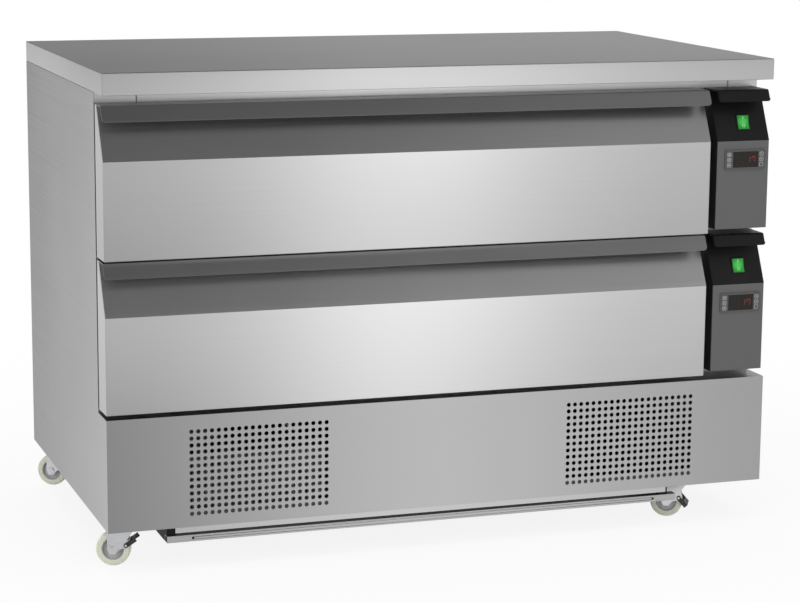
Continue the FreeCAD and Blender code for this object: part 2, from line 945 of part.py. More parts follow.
lip_cutters = lip_corners(
    "lip",
    (("left", 1), ("drawer_right", -1)),
    "drawer_top - lip",
    "lip_corner",
    (f"front - {CUT}", "front + lip_run"),
)
front_shell = cut(
    "front_shell", fuse("front_shell_block", folded_sheet, left_cap, right_cap), *lip_cutters
)
sub_part("lower_drawer_front", front_shell)
sub_part("upper_drawer_front", raised("front_shell_raised", front_shell))

core_outline = [
    ("drawer_back", "drawer_low + sheet"),
    ("front + sheet", "drawer_low + sheet"),
    ("front + sheet", "crease_inner"),
    ("recess_back + incline_wall", "drawer_top - sheet"),
    ("drawer_back", "drawer_top - sheet"),
]
core = extrusion(
    "front_core", "YZ_Plane", core_outline, "drawer_right - left - 2 * sheet", "left + sheet"
)
sub_part("lower_front_core", core)
sub_part("upper_front_core", raised("front_core_raised", core))

# Gasket: a ring on the inner panel that meets the frame round the opening
gasket_block = box(
    "gasket_block",
    ("gasket_left", "gasket_right"),
    ("panel_back", "gasket_back"),
    ("gasket_low", "gasket_high"),
)
gasket_hole = box(
    "gasket_hole",
    ("gasket_left + gasket_width", "gasket_right - gasket_width"),
    (f"panel_back - {CUT}", f"gasket_back + {CUT}"),
    ("gasket_low + gasket_width", "gasket_high - gasket_width"),
)
gasket = cut("gasket", gasket_block, gasket_hole)
sub_part("lower_gasket", gasket)
sub_part("upper_gasket", raised("gasket_raised", gasket))

# Drawer box: an open steel tub with a rim, hung on the inner panel of the front
inner_panel = box(
    "inner_panel_sheet",
    ("left", "drawer_right"),
    ("drawer_back", "panel_back"),
    ("drawer_low", "drawer_top"),
)
tub_block = box(
    "tub_block",
    ("tub_left", "tub_right"),
    ("panel_back", "tub_back"),
    ("tub_low", "tub_high"),
)
tub_inside = box(
    "tub_inside",
    ("tub_left + tub_wall", "tub_right - tub_wall"),
    ("panel_back + tub_wall", "tub_back - tub_wall"),
    ("tub_low + tub_wall", "tub_high - tub_wall"),
)
tub_mouth = box(
    "tub_mouth",
    ("tub_left + tub_rim", "tub_right - tub_rim"),
    ("panel_back + tub_rim", "tub_back - tub_rim"),
    ("tub_high - 2 * tub_wall", f"tub_high + {CUT}"),
)
tub = cut("tub", fuse("tub_and_panel", inner_panel, tub_block), tub_inside, tub_mouth)
sub_part("lower_drawer_box", tub)
sub_part("upper_drawer_box", raised("tub_raised", tub))

# Control module: a hollow moulding beside each drawer, with the drawer's own profile
module_outline = [
    ("carcass_front", "module_low"),
    ("fascia_back", "module_low"),
    ("fascia_back", "crease"),
    ("fascia_front", "crease"),
    ("recess_back", "drawer_top - module_wall"),
    (
        "front + module_incline_wall + module_lip_run * (1 - module_wall / module_lip)",
        "drawer_top - module_wall",
    ),
    ("front + module_incline_wall", "drawer_top - module_lip"),
    ("front", "drawer_top - module_lip"),
    ("front + module_lip_run", "drawer_top"),
    ("carcass_front", "drawer_top"),
]
hollow_outline = [
    ("carcass_front + sheet", "module_low + module_wall"),
    ("fascia_back + module_wall", "module_low + module_wall"),
    ("fascia_back + module_wall", "crease"),
    (
        "fascia_front + module_incline_wall + module_incline_run * module_foot / module_incline_rise",
        "crease + module_foot",
    ),
    ("recess_back + module_incline_wall", "drawer_top - module_wall"),
    ("carcass_front + sheet", "drawer_top - module_wall"),
]
moulding = extrusion("moulding", "YZ_Plane", module_outline, "module_width", "module_left")
hollow = extrusion(
    "moulding_hollow",
    "YZ_Plane",
    hollow_outline,
    "module_width - 2 * module_wall",
    "module_left + module_wall",
)


def on_incline(name, piece):
    """Sets a piece drawn about the origin, its front towards -Y, on the leaning face."""
    return placed(
        name, piece, "rocker_x", "rocker_y", "rocker_z", axis=(-1, 0, 0), angle="module_lean_angle"
    )


frame_hole = box(
    "frame_hole",
    ("-rocker_width / 2 - rocker_play", "rocker_width / 2 + rocker_play"),
    (f"-{CUT}", "rocker_body_depth"),
    ("-rocker_length / 2 - rocker_play", "rocker_length / 2 + rocker_play"),
)
body_hole = box(
    "body_hole",
    (
        "-rocker_width / 2 - rocker_play - rocker_frame_wall / 2",
        "rocker_width / 2 + rocker_play + rocker_frame_wall / 2",
    ),
    (f"-{CUT}", "2 * module_wall"),
    (
        "-rocker_length / 2 - rocker_play - rocker_frame_wall / 2",
        "rocker_length / 2 + rocker_play + rocker_frame_wall / 2",
    ),
)
thermostat_hole = box(
    "thermostat_hole",
    ("thermostat_x - thermostat_body_width / 2", "thermostat_x + thermostat_body_width / 2"),
    (f"fascia_front - {CUT}", f"fascia_back + module_wall + {CUT}"),
    ("thermostat_z - thermostat_body_height / 2", "thermostat_z + thermostat_body_height / 2"),
)
module_corners = lip_corners(
    "module_lip",
    (("module_left", 1), ("module_right", -1)),
    "drawer_top - module_lip",
    "module_corner",
    (f"front - {CUT}", "front + module_lip_run"),
)
housing = cut(
    "housing",
    moulding,
    hollow,
    on_incline("body_hole_placed", body_hole),
    thermostat_hole,
    *module_corners,
)

# Rocker switch: a frame clipped into the leaning face and a paddle on two pins
frame_flange = box(
    "frame_flange",
    ("-frame_width / 2", "frame_width / 2"),
    ("-rocker_frame_proud", "0"),
    ("-frame_length / 2", "frame_length / 2"),
)
frame_box = box(
    "frame_box",
    (
        "-rocker_width / 2 - rocker_play - rocker_frame_wall / 2",
        "rocker_width / 2 + rocker_play + rocker_frame_wall / 2",
    ),
    ("-rocker_frame_proud", "rocker_body_depth + rocker_frame_wall / 2"),
    (
        "-rocker_length / 2 - rocker_play - rocker_frame_wall / 2",
        "rocker_length / 2 + rocker_play + rocker_frame_wall / 2",
    ),
)
pin_hole = cylinder(
    "pin_hole",
    "x",
    "-frame_width",
    "rocker_pivot_depth",
    "0",
    "rocker_pin / 2 + bearing_play",
    "2 * frame_width",
)
switch_frame = cut(
    "switch_frame", fuse("switch_frame_block", frame_flange, frame_box), frame_hole, pin_hole
)
switch_frame_placed = on_incline("switch_frame_placed", switch_frame)
housing_pair = group("housing_pair", housing, switch_frame_placed)
sub_part("module_housings", both_levels("housing_set", housing_pair))

# The paddle is drawn about its pins: two flats that meet in a shallow valley
paddle_outline = [
    ("paddle_front - rocker_rim", "-paddle_half"),
    ("paddle_front + rocker_valley", "0"),
    ("paddle_front - rocker_rim", "paddle_half"),
    ("paddle_front - rocker_rim + rocker_edge", "paddle_half"),
    ("rocker_pin", "rocker_length / 5"),
    ("rocker_pin", "-rocker_length / 5"),
    ("paddle_front - rocker_rim + rocker_edge", "-paddle_half"),
]
paddle_block = extrusion(
    "paddle_block", "YZ_Plane", paddle_outline, "rocker_width", "-rocker_width / 2"
)
paddle_pin = cylinder(
    "paddle_pin",
    "x",
    "-rocker_width / 2 - rocker_play - rocker_frame_wall / 2",
    "0",
    "0",
    "rocker_pin / 2",
    "rocker_width + 2 * rocker_play + rocker_frame_wall",
)
paddle = fuse("paddle", paddle_block, paddle_pin)
tilted_paddle = placed(
    "tilted_paddle", paddle, y="rocker_pivot_depth", axis=(1, 0, 0), angle="rocker_tilt"
)
rocker = on_incline("rocker", tilted_paddle)
sub_part("lower_rocker_switch", rocker)
sub_part("upper_rocker_switch", raised("rocker_raised", rocker))

# Fascia: a flat plate over the lower part of the module
fascia_plate = box(
    "fascia_plate",
    ("module_left", "module_right"),
    ("fascia_front", "fascia_back"),
    ("module_low", "crease"),
)
fascia = cut("fascia", fascia_plate, thermostat_hole)
sub_part("control_fascias", both_levels("fascia_set", fascia))

# Thermostat: a frame on the fascia with its body in the hollow behind, a recess for the
# display window and a pocket for each key
bezel = box(
    "bezel",
    ("thermostat_left", "thermostat_left + thermostat_width"),
    ("thermostat_front", "fascia_front"),
    ("thermostat_z - thermostat_height / 2", "thermostat_z + thermostat_height / 2"),
)
thermostat_body = box(
    "thermostat_body",
    ("thermostat_x - thermostat_body_width / 2", "thermostat_x + thermostat_body_width / 2"),
    ("thermostat_front", "fascia_front + thermostat_body_depth"),
    ("thermostat_z - thermostat_body_height / 2", "thermostat_z + thermostat_body_height / 2"),
)
window_recess = box(
    "window_recess",
    ("window_left", "window_left + window_width"),
    (f"thermostat_front - {CUT}", "thermostat_front + window_thickness"),
    ("thermostat_z - window_height / 2", "thermostat_z + window_height / 2"),
)
KEYS = {
    "set_key": ("key_column_left", 1),
    "standby_key": ("key_column_left", 0),
    "defrost_key": ("key_column_left", -1),
    "up_key": ("key_column_right", 1),
    "down_key": ("key_column_right", 0),
}
pockets = []
keys = {}
for label, (column, step) in KEYS.items():
    middle_x = f"thermostat_left + {column}"
    middle_z = f"thermostat_z + {step} * key_pitch"
    pockets.append(
        box(
            f"{label}_pocket",
            (
                f"{middle_x} - key_width / 2 - key_play",
                f"{middle_x} + key_width / 2 + key_play",
            ),
            (f"thermostat_front - {CUT}", "pocket_back"),
            (
                f"{middle_z} - key_height / 2 - key_play",
                f"{middle_z} + key_height / 2 + key_play",
            ),
        )
    )
    keys[label] = box(
        f"{label}_cap",
        (f"{middle_x} - key_width / 2", f"{middle_x} + key_width / 2"),
        ("key_front", "key_back"),
        (f"{middle_z} - key_height / 2", f"{middle_z} + key_height / 2"),
    )
thermostat = cut(
    "thermostat", fuse("thermostat_block", bezel, thermostat_body), window_recess, *pockets
)
sub_part("thermostats", both_levels("thermostat_set", thermostat))
window = box(
    "window",
    ("window_left", "window_left + window_width"),
    ("thermostat_front", "thermostat_front + window_thickness"),
    ("thermostat_z - window_height / 2", "thermostat_z + window_height / 2"),
)
sub_part("display_windows", both_levels("window_set", window))
for label, key in keys.items():
    sub_part(f"lower_{label}", key)
    sub_part(f"upper_{label}", raised(f"{label}_raised", key))

# Castors, drawn about the swivel axis with the wheel trailing towards -X
plate = box(
    "castor_plate_block",
    ("-castor_plate / 2", "castor_plate / 2"),
    ("-castor_plate / 2", "castor_plate / 2"),
    ("plate_low", "castor_height"),
)
upper_race = cylinder(
    "upper_race",
    "z",
    "0",
    "0",
    "race_middle + race_gap / 2",
    "race_radius",
    "plate_low - race_middle - race_gap / 2",
)
kingpin_shank = cylinder(
    "kingpin_shank",
    "z",
    "0",
    "0",
    "crown_low - race_gap",
    "kingpin / 2",
    "plate_low - crown_low + race_gap",
)
kingpin_head = cylinder(
    "kingpin_head",
    "z",
    "0",
    "0",
    "crown_low - race_gap - head_thickness",
    "kingpin",
    "head_thickness",
)
bolt_heads = []
for i, x in enumerate(("-bolt_spacing / 2", "bolt_spacing / 2")):
    for j, y in enumerate(("-bolt_spacing / 2", "bolt_spacing / 2")):
        bolt_heads.append(
            cylinder(
                f"bolt_head_{i}{j}",
                "z",
                x,
                y,
                "plate_low - bolt_diameter / 2",
                "bolt_head",
                "bolt_diameter / 2 + pan_sheet",
            )
        )
swivel_plate = fuse(
    "swivel_plate", plate, upper_race, kingpin_shank, kingpin_head, *bolt_heads
)

leg_outline = [
    ("fork_tail", "wheel_radius"),
    ("-castor_trail - fork_toe", "wheel_radius - axle_diameter"),
    ("-castor_trail + fork_toe", "wheel_radius - axle_diameter"),
    ("-castor_trail + fork_knee", "wheel_radius"),
    ("pedal_pivot_reach + pedal_pin", "pedal_pivot_height - pedal_pin / 2"),
    ("pedal_pivot_reach + pedal_pin", "pedal_pivot_height + pedal_pin"),
    ("pedal_pivot_reach + pedal_pin / 2", "pedal_pivot_height + pedal_length / 2"),
    ("fork_nose", "crown_top"),
    ("fork_tail", "crown_top"),
]
near_leg = extrusion("near_leg", "XZ_Plane", leg_outline, "fork_sheet", "-leg_inner")
far_leg = extrusion("far_leg", "XZ_Plane", leg_outline, "fork_sheet", "leg_outer")
crown = box(
    "crown",
    ("fork_tail", "fork_nose"),
    ("-leg_outer", "leg_outer"),
    ("crown_low", "crown_top"),
)
lower_race = cylinder(
    "lower_race",
    "z",
    "0",
    "0",
    "crown_low",
    "race_radius",
    "race_middle - race_gap / 2 - crown_low",
)
kingpin_hole = cylinder(
    "kingpin_hole",
    "z",
    "0",
    "0",
    f"crown_low - {CUT}",
    "kingpin / 2 + bearing_play",
    f"castor_height - crown_low + {CUT}",
)
axle_seat = cylinder(
    "axle_seat",
    "y",
    "-castor_trail",
    "-leg_outer * 2",
    "wheel_radius",
    "axle_diameter / 2",
    "leg_outer * 4",
)
fork_frame = cut(
    "fork_frame",
    fuse("fork_blank", near_leg, far_leg, crown, lower_race),
    kingpin_hole,
    axle_seat,
)
axle_rod = cylinder(
    "axle_rod",
    "y",
    "-castor_trail",
    "-leg_outer",
    "wheel_radius",
    "axle_diameter / 2",
    "2 * leg_outer",
)


def hex_head(name, y):
    """A six-sided head on the end of a wheel axle."""
    head = doc.addObject("Part::Prism", name)
    head.Polygon = 6
    turned(head, *TOWARDS["y"])
    bind_place(head, "-castor_trail", y, "wheel_radius")
    bind(head, "Circumradius", "axle_head")
    bind(head, "Height", "head_thickness")
    return head


axle = fuse(
    "axle",
    axle_rod,
    hex_head("axle_head", "-leg_outer - head_thickness"),
    hex_head("axle_nut", "leg_outer"),
)
pedal_stubs = [
    cylinder(
        f"pedal_stub_{label}",
        "y",
        "pedal_pivot_reach",
        start,
        "pedal_pivot_height",
        "pedal_pin / 2",
        "fork_sheet + pedal_width + race_gap",
    )
    for label, start in (
        ("near", "-leg_outer - pedal_width - race_gap"),
        ("far", "leg_inner"),
    )
]
plain_fork = group("plain_fork", fork_frame, axle)
braked_fork = group("braked_fork", fuse("fork_with_stubs", fork_frame, *pedal_stubs), axle)

# Wheel: a nylon disc with a rounded tread, a sunk web and a hub that stands out a little
half = "wheel_width / 2"
wheel_outline = [
    ("axle_hole", "-hub_width / 2"),
    ("axle_diameter / 2 + hub_wall", "-hub_width / 2"),
    ("axle_diameter / 2 + hub_wall", "-wheel_width / 4"),
    ("wheel_web", "-wheel_width / 4"),
    ("wheel_rim", f"-{half}"),
    ("wheel_radius", f"-{half}"),
    ("wheel_radius", half),
    ("wheel_rim", half),
    ("wheel_web", "wheel_width / 4"),
    ("axle_diameter / 2 + hub_wall", "wheel_width / 4"),
    ("axle_diameter / 2 + hub_wall", "hub_width / 2"),
    ("axle_hole", "hub_width / 2"),
]
wheel_turning = rounded(
    revolution("wheel_turning", wheel_outline),
    "wheel_width / 5",
    lambda edge: edge.BoundBox.XLength > number("wheel_diameter") - NEAR
    and edge.BoundBox.ZLength < NEAR,
)
wheel_disc = group("wheel_disc", wheel_turning)
turned(wheel_disc, (1, 0, 0), 90)
bind_place(wheel_disc, "-castor_trail", "0", "wheel_radius")

# Brake pedal: drawn about its pins, pointing along +X
pedal_arm_y = (("near", "-leg_outer - race_gap - pedal_width"), ("far", "leg_outer + race_gap"))
pedal_parts = []
for label, y in pedal_arm_y:
    pedal_parts.append(
        box(
            f"pedal_arm_{label}",
            ("0", "pedal_length"),
            (y, f"{y} + pedal_width"),
            ("-pedal_pin", "pedal_pin"),
        )
    )
    pedal_parts.append(
        cylinder(f"pedal_eye_{label}", "y", "0", y, "0", "pedal_pin", "pedal_width")
    )
tread = box(
    "pedal_tread",
    ("pedal_tread_start", "pedal_length"),
    (pedal_arm_y[0][1], "leg_outer + race_gap + pedal_width"),
    ("pedal_pin - pedal_width", "pedal_pin"),
)
pedal_hole = cylinder(
    "pedal_hole",
    "y",
    "0",
    "-leg_outer * 2",
    "0",
    "pedal_pin / 2 + bearing_play",
    "leg_outer * 4",
)
pedal = cut("pedal", fuse("pedal_blank", *pedal_parts, tread), pedal_hole)


def pedal_at(name, angle):
    return placed(
        name,
        pedal,
        x="pedal_pivot_reach",
        z="pedal_pivot_height",
        axis=(0, 1, 0),
        angle=angle,
    )


CASTORS = {
    "front_left": ("castor_left", "castor_front", "pedal_up"),
    "front_right": ("castor_right", "castor_front", "pedal_down"),
    "rear_left": ("castor_left", "castor_back", None),
    "rear_right": ("castor_right", "castor_back", None),
}
plates = []
for place, (x, y, pedal_angle) in CASTORS.items():
    turn = f"turn_{place}"
    plates.append(placed(f"{place}_plate", swivel_plate, x, y))
    fork = braked_fork if pedal_angle else plain_fork
    sub_part(f"{place}_castor_fork", placed(f"{place}_fork", fork, x, y, angle=turn))
    sub_part(f"{place}_castor_wheel", placed(f"{place}_wheel", wheel_disc, x, y, angle=turn))
    if pedal_angle:
        hung = pedal_at(f"{place}_pedal_tilted", pedal_angle)
        sub_part(f"{place}_brake_pedal", placed(f"{place}_pedal", hung, x, y, angle=turn))
sub_part("castor_plates", group("castor_plate_set", *plates))

# Rail under the base: a square tube, a strip above it and a bracket at each end
rail_bar = box(
    "rail_bar",
    ("rail_left", "rail_right"),
    ("rail_front", "rail_back"),
    ("rail_low", "rail_low + rail_height"),
)
rail_bore = box(
    "rail_bore",
    (f"rail_left - {CUT}", f"rail_right + {CUT}"),
    ("rail_front + rail_wall", "rail_back - rail_wall"),
    ("rail_low + rail_wall", "rail_low + rail_height - rail_wall"),
)
rail_holes = [
    cylinder(
        f"rail_hole_{label}",
        "y",
        x,
        f"rail_front - {CUT}",
        "rail_low + rail_height / 2",
        "rail_hole / 2",
        f"rail_wall + 2 * {CUT}",
    )
    for label, x in (
        ("left", "rail_left + rail_hole_inset"),
        ("right", "rail_right - rail_hole_inset"),
    )
]
rail = cut("rail", rail_bar, rail_bore, *rail_holes)
strip = box(
    "strip",
    ("left + strip_inset_left", "right - strip_inset_right"),
    ("strip_front", "strip_back"),
    ("castor_height - strip_drop", "castor_height"),
)
brackets = [
    fuse(
        f"bracket_{label}",
        box(
            f"bracket_{label}_bar",
            (x, f"{x} + bracket_width"),
            ("rail_back", "rail_back + bracket_length"),
            ("rail_low", "castor_height"),
        ),
        box(
            f"bracket_{label}_ear",
            (x, f"{x} + bracket_width"),
            ("strip_back", "rail_back"),
            ("rail_low + rail_height", "castor_height"),
        ),
    )
    for label, x in (
        ("left", "rail_left"),
        ("right", "bracket_right - bracket_width"),
    )
]
sub_part("underframe", group("underframe_set", rail, strip, *brackets))


# Fans: a hub with a bore and pitched blades, drawn about Z from the back of the hub
def fan(name):
    hub = cylinder(name + "_hub", "z", "0", "0", "0", "fan_hub / 2", "fan_hub_length")
    blades = []
    count = int(number("fan_blades"))
    for i in range(count):
        blade = box(
            f"{name}_blade_{i}",
            ("fan_hub / 2 - fan_blade_root", "fan_diameter / 2"),
            ("-fan_blade_chord / 2", "fan_blade_chord / 2"),
            ("-fan_blade / 2", "fan_blade / 2"),
        )
        pitched = placed(
            f"{name}_pitched_{i}",
            blade,
            z="fan_hub_length / 2",
            axis=(1, 0, 0),
            angle="fan_blade_pitch",
        )
        around = group(f"{name}_around_{i}", pitched)
        turned(around, (0, 0, 1), 360 * i / count)
        blades.append(around)
    bore = cylinder(
        name + "_bore",
        "z",
        "0",
        "0",
        f"-{CUT}",
        "fan_shaft / 2 + bearing_play",
        f"fan_hub_length + 2 * {CUT}",
    )
    return cut(name, fuse(name + "_blank", hub, *blades), bore)


# Condensing unit: a finned block behind the left vents, then its shroud and fan
condenser = box(
    "condenser_block",
    ("condenser_left", "condenser_right"),
    ("condenser_front", "condenser_back"),
    ("pan_top", "condenser_top"),
)
sub_part("condenser", condenser)
shroud_block = box(
    "shroud_block",
    ("condenser_left", "condenser_right"),
    ("condenser_back", "shroud_back"),
    ("pan_top", "condenser_top"),
)
shroud_inside = box(
    "shroud_inside",
    ("condenser_left + shroud_wall", "condenser_right - shroud_wall"),
    (f"condenser_back - {CUT}", "shroud_back - shroud_wall"),
    ("pan_top + shroud_wall", "condenser_top - shroud_wall"),
)
shroud_ring = cylinder(
    "shroud_ring",
    "y",
    "-vent_spread",
    f"shroud_back - {CUT}",
    "fan_z",
    "fan_diameter / 2 - shroud_wall",
    f"2 * {CUT}",
)
shroud = cut("shroud", shroud_block, shroud_inside, shroud_ring)
motor = cylinder(
    "condenser_motor",
    "y",
    "-vent_spread",
    "shroud_back + strut / 4",
    "fan_z",
    "motor_diameter / 2",
    "motor_length",
)
motor_shaft = cylinder(
    "condenser_shaft",
    "y",
    "-vent_spread",
    "fan_back - fan_hub_length - motor_gap",
    "fan_z",
    "fan_shaft / 2",
    "shroud_back - fan_back + fan_hub_length + motor_gap + strut",
)
motor_strut = box(
    "motor_strut",
    ("-vent_spread - fan_diameter * 0.6", "-vent_spread + fan_diameter * 0.6"),
    ("shroud_back", "shroud_back + strut / 2"),
    ("fan_z - strut / 2", "fan_z + strut / 2"),
)
sub_part("condenser_shroud", fuse("shroud_and_motor", shroud, motor, motor_shaft, motor_strut))
condenser_fan = fan("condenser_fan_wheel")
condenser_fan_set = group("condenser_fan_set", condenser_fan)
turned(condenser_fan_set, (1, 0, 0), -90)
bind_place(condenser_fan_set, "-vent_spread", "fan_back - fan_hub_length", "fan_z")
sub_part("condenser_fan", condenser_fan_set)

# Compressor: a welded steel pot on a base plate with four rubber feet
pot = rounded(
    revolution(
        "pot",
        [
            ("0", "0"),
            ("compressor_diameter / 2", "0"),
            ("compressor_diameter / 2", "compressor_seam"),
            ("compressor_diameter / 2 + seam_flange", "compressor_seam"),
            ("compressor_diameter / 2 + seam_flange", "compressor_seam + seam_height"),
            ("compressor_diameter / 2", "compressor_seam + seam_height"),
            ("compressor_diameter / 2", "compressor_height"),
            ("0", "compressor_height"),
        ],
    ),
    "compressor_dome",
    lambda edge: edge.BoundBox.ZMin > number("compressor_height") - NEAR
    and edge.BoundBox.XLength > number("compressor_diameter") - NEAR,
)
base_plate = box(
    "compressor_plate",
    ("-compressor_base / 2", "compressor_base / 2"),
    ("-compressor_base_depth / 2", "compressor_base_depth / 2"),
    ("-compressor_sheet", "0"),
)
feet = []
for i, x in enumerate(("-foot_spacing_x / 2", "foot_spacing_x / 2")):
    for j, y in enumerate(("-foot_spacing_y / 2", "foot_spacing_y / 2")):
        feet.append(
            cylinder(
                f"foot_{i}{j}",
                "z",
                x,
                y,
                "-compressor_foot",
                "compressor_foot / 2",
                "compressor_foot",
            )
        )
compressor = fuse("compressor_blank", pot, base_plate, *feet)
sub_part(
    "compressor",
    placed("compressor_placed", compressor, "compressor_x", "compressor_y", "compressor_low"),
)

# Drain tray: melt water runs into it and dries off beside the compressor
tray_block = box(
    "tray_block",
    ("tray_x - tray_length / 2", "tray_x + tray_length / 2"),
    ("tray_y - tray_width / 2", "tray_y + tray_width / 2"),
    ("pan_top", "pan_top + tray_height"),
)
tray_inside = box(
    "tray_inside",
    ("tray_x - tray_length / 2 + tray_wall", "tray_x + tray_length / 2 - tray_wall"),
    ("tray_y - tray_width / 2 + tray_wall", "tray_y + tray_width / 2 - tray_wall"),
    ("pan_top + tray_wall", f"pan_top + tray_height + {CUT}"),
)
sub_part("drain_tray", cut("drain_tray_open", tray_block, tray_inside))

# Evaporators: a finned block on the far wall of each narrow bay, and the fan's motor
finned_block = box(
    "finned_block",
    ("evaporator_left", "evaporator_right"),
    ("evaporator_front", "evaporator_back"),
    ("evaporator_low", "evaporator_low + evaporator_height"),
)
block_rails = [
    box(
        f"block_rail_{label}",
        ("evaporator_right", "bay_right"),
        (y, f"{y} + strut"),
        ("evaporator_low", "evaporator_low + evaporator_height"),
    )
    for label, y in (
        ("front", "evaporator_front"),
        ("back", "evaporator_back - strut"),
    )
]
bay_motor = cylinder(
    "bay_motor",
    "x",
    "bay_left + fan_hub_length + 2 * motor_gap",
    "bay_fan_y",
    "bay_fan_z",
    "motor_diameter / 2",
    "bay_right - bay_left - fan_hub_length - 2 * motor_gap",
)
bay_shaft = cylinder(
    "bay_shaft",
    "x",
    "bay_left + motor_gap / 2",
    "bay_fan_y",
    "bay_fan_z",
    "fan_shaft / 2",
    "fan_hub_length + 2 * motor_gap",
)
evaporator = group(
    "evaporator",
    fuse("evaporator_on_rails", finned_block, *block_rails),
    fuse("bay_motor_set", bay_motor, bay_shaft),
)
sub_part("evaporators", both_levels("evaporator_set", evaporator))
bay_fan = fan("bay_fan_wheel")
bay_fan_set = group("bay_fan_set", bay_fan)
turned(bay_fan_set, (0, 1, 0), 90)
bind_place(bay_fan_set, "bay_left + motor_gap", "bay_fan_y", "bay_fan_z")
sub_part("lower_evaporator_fan", bay_fan_set)
sub_part("upper_evaporator_fan", raised("bay_fan_raised", bay_fan_set))

# Refrigerant pipes: a liquid line from the condenser and a suction line to the compressor,
# each a riser behind the liners with a branch into both evaporators
bend = number("pipe_bend")
high_branch = number("branch_z") + number("drawer_pitch")
fin_back = number("evaporator_back")
line_y = number("pipe_y")


def riser(name, x, diameter, start_points):
    """A line that ends in the upper evaporator, with a branch to the lower one."""
    main = pipe(
        name + "_riser",
        [
            *start_points,
            (x, line_y, start_points[-1][2]),
            (x, line_y, high_branch),
            (x, fin_back, high_branch),
        ],
        diameter,
        bend,
    )
    branch = pipe(
        name + "_branch",
        [(x, line_y, number("branch_z")), (x, fin_back, number("branch_z"))],
        diameter,
        bend,
    )
    return fuse(name, main, branch)


pot_x = number("compressor_x")
pot_y = number("compressor_y")
pot_radius = number("compressor_diameter") / 2
suction_low = number("compressor_low") + number("suction_rise")
discharge_z = number("condenser_top") - number("discharge_drop")
liquid_low = number("fan_z")
suction_line = riser(
    "suction_line",
    number("suction_x"),
    number("suction_pipe"),
    [
        (pot_x + pot_radius, pot_y, suction_low),
        (pot_x + pot_radius + number("suction_reach"), pot_y, suction_low),
        (pot_x + pot_radius + number("suction_reach"), line_y, suction_low),
    ],
)
liquid_line = riser(
    "liquid_line",
    number("liquid_x"),
    number("liquid_pipe"),
    [
        (number("condenser_right"), number("condenser_back") - bend, liquid_low),
        (number("condenser_right") + number("liquid_reach"), number("condenser_back") - bend, liquid_low),
        (number("condenser_right") + number("liquid_reach"), line_y, liquid_low),
    ],
)
discharge_x = number("condenser_right") + number("discharge_reach")
inlet_y = number("condenser_front") + bend
discharge_line = pipe(
    "discharge_line",
    [
        (pot_x - pot_radius, pot_y, discharge_z),
        (discharge_x, pot_y, discharge_z),
        (discharge_x, inlet_y, discharge_z),
        (number("condenser_right"), inlet_y, discharge_z),
    ],
    number("liquid_pipe"),
    bend,
)
sub_part("refrigerant_pipes", group("pipe_set", suction_line, liquid_line, discharge_line))

# Gland for the mains cord: a collar through the pan near the back
gland_collar = cylinder(
    "gland_collar",
    "z",
    "right - gland_inset_right",
    "back - gland_inset_back",
    "castor_height - gland_length",
    "gland_diameter / 2",
    "gland_length",
)
gland_bore = cylinder(
    "gland_bore",
    "z",
    "right - gland_inset_right",
    "back - gland_inset_back",
    f"castor_height - gland_length - {CUT}",
    "gland_diameter / 5",
    "gland_length",
)
sub_part("cord_gland", cut("gland", gland_collar, gland_bore))

doc.recompute()
for item in doc.Objects:
    if "Invalid" in item.State or "Error" in item.State:
        raise RuntimeError(f"{item.Name} could not be built")
os.makedirs("parts", exist_ok=True)
for piece in sub_parts:
    if piece.Shape.isNull() or not piece.Shape.isValid():
        raise RuntimeError(f"{piece.Label} has no valid shape")
    piece.Shape.exportStep(f"parts/{piece.Label}.step")
print(len(sub_parts), "sub-parts")
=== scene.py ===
import json
import math

import bmesh
import bpy
import numpy as np
from mathutils import Matrix, Vector
from mathutils.bvhtree import BVHTree


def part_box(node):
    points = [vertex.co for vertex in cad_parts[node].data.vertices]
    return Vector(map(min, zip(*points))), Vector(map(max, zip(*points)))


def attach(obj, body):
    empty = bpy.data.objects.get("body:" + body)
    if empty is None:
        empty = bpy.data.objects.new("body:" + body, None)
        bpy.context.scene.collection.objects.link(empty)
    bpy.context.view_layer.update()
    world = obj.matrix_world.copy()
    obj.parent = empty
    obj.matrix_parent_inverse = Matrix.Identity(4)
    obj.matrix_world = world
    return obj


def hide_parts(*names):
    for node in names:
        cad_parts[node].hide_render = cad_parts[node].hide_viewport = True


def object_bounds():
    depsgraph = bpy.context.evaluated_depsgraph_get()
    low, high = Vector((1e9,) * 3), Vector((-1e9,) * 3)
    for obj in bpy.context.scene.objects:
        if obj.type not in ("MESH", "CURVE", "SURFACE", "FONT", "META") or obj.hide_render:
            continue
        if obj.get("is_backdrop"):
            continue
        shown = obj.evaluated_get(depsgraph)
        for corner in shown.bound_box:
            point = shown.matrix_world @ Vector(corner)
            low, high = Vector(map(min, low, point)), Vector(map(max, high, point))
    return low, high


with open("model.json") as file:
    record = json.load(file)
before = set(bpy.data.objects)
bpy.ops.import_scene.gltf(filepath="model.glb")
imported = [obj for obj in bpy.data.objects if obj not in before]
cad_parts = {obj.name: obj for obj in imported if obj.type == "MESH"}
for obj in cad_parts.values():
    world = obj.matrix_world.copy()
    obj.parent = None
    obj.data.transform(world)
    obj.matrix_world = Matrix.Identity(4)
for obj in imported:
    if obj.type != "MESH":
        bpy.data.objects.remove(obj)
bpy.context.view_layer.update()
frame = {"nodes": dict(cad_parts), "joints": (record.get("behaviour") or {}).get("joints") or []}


# The camera stands a little to the left of the counter and above its worktop, as far away
# as a long lens needs, so that the uprights are nearly parallel in the picture.
def placed(name, data):
    """An object that holds the data, as part of the scene."""
    made = bpy.data.objects.new(name, data)
    bpy.context.scene.collection.objects.link(made)
    return made


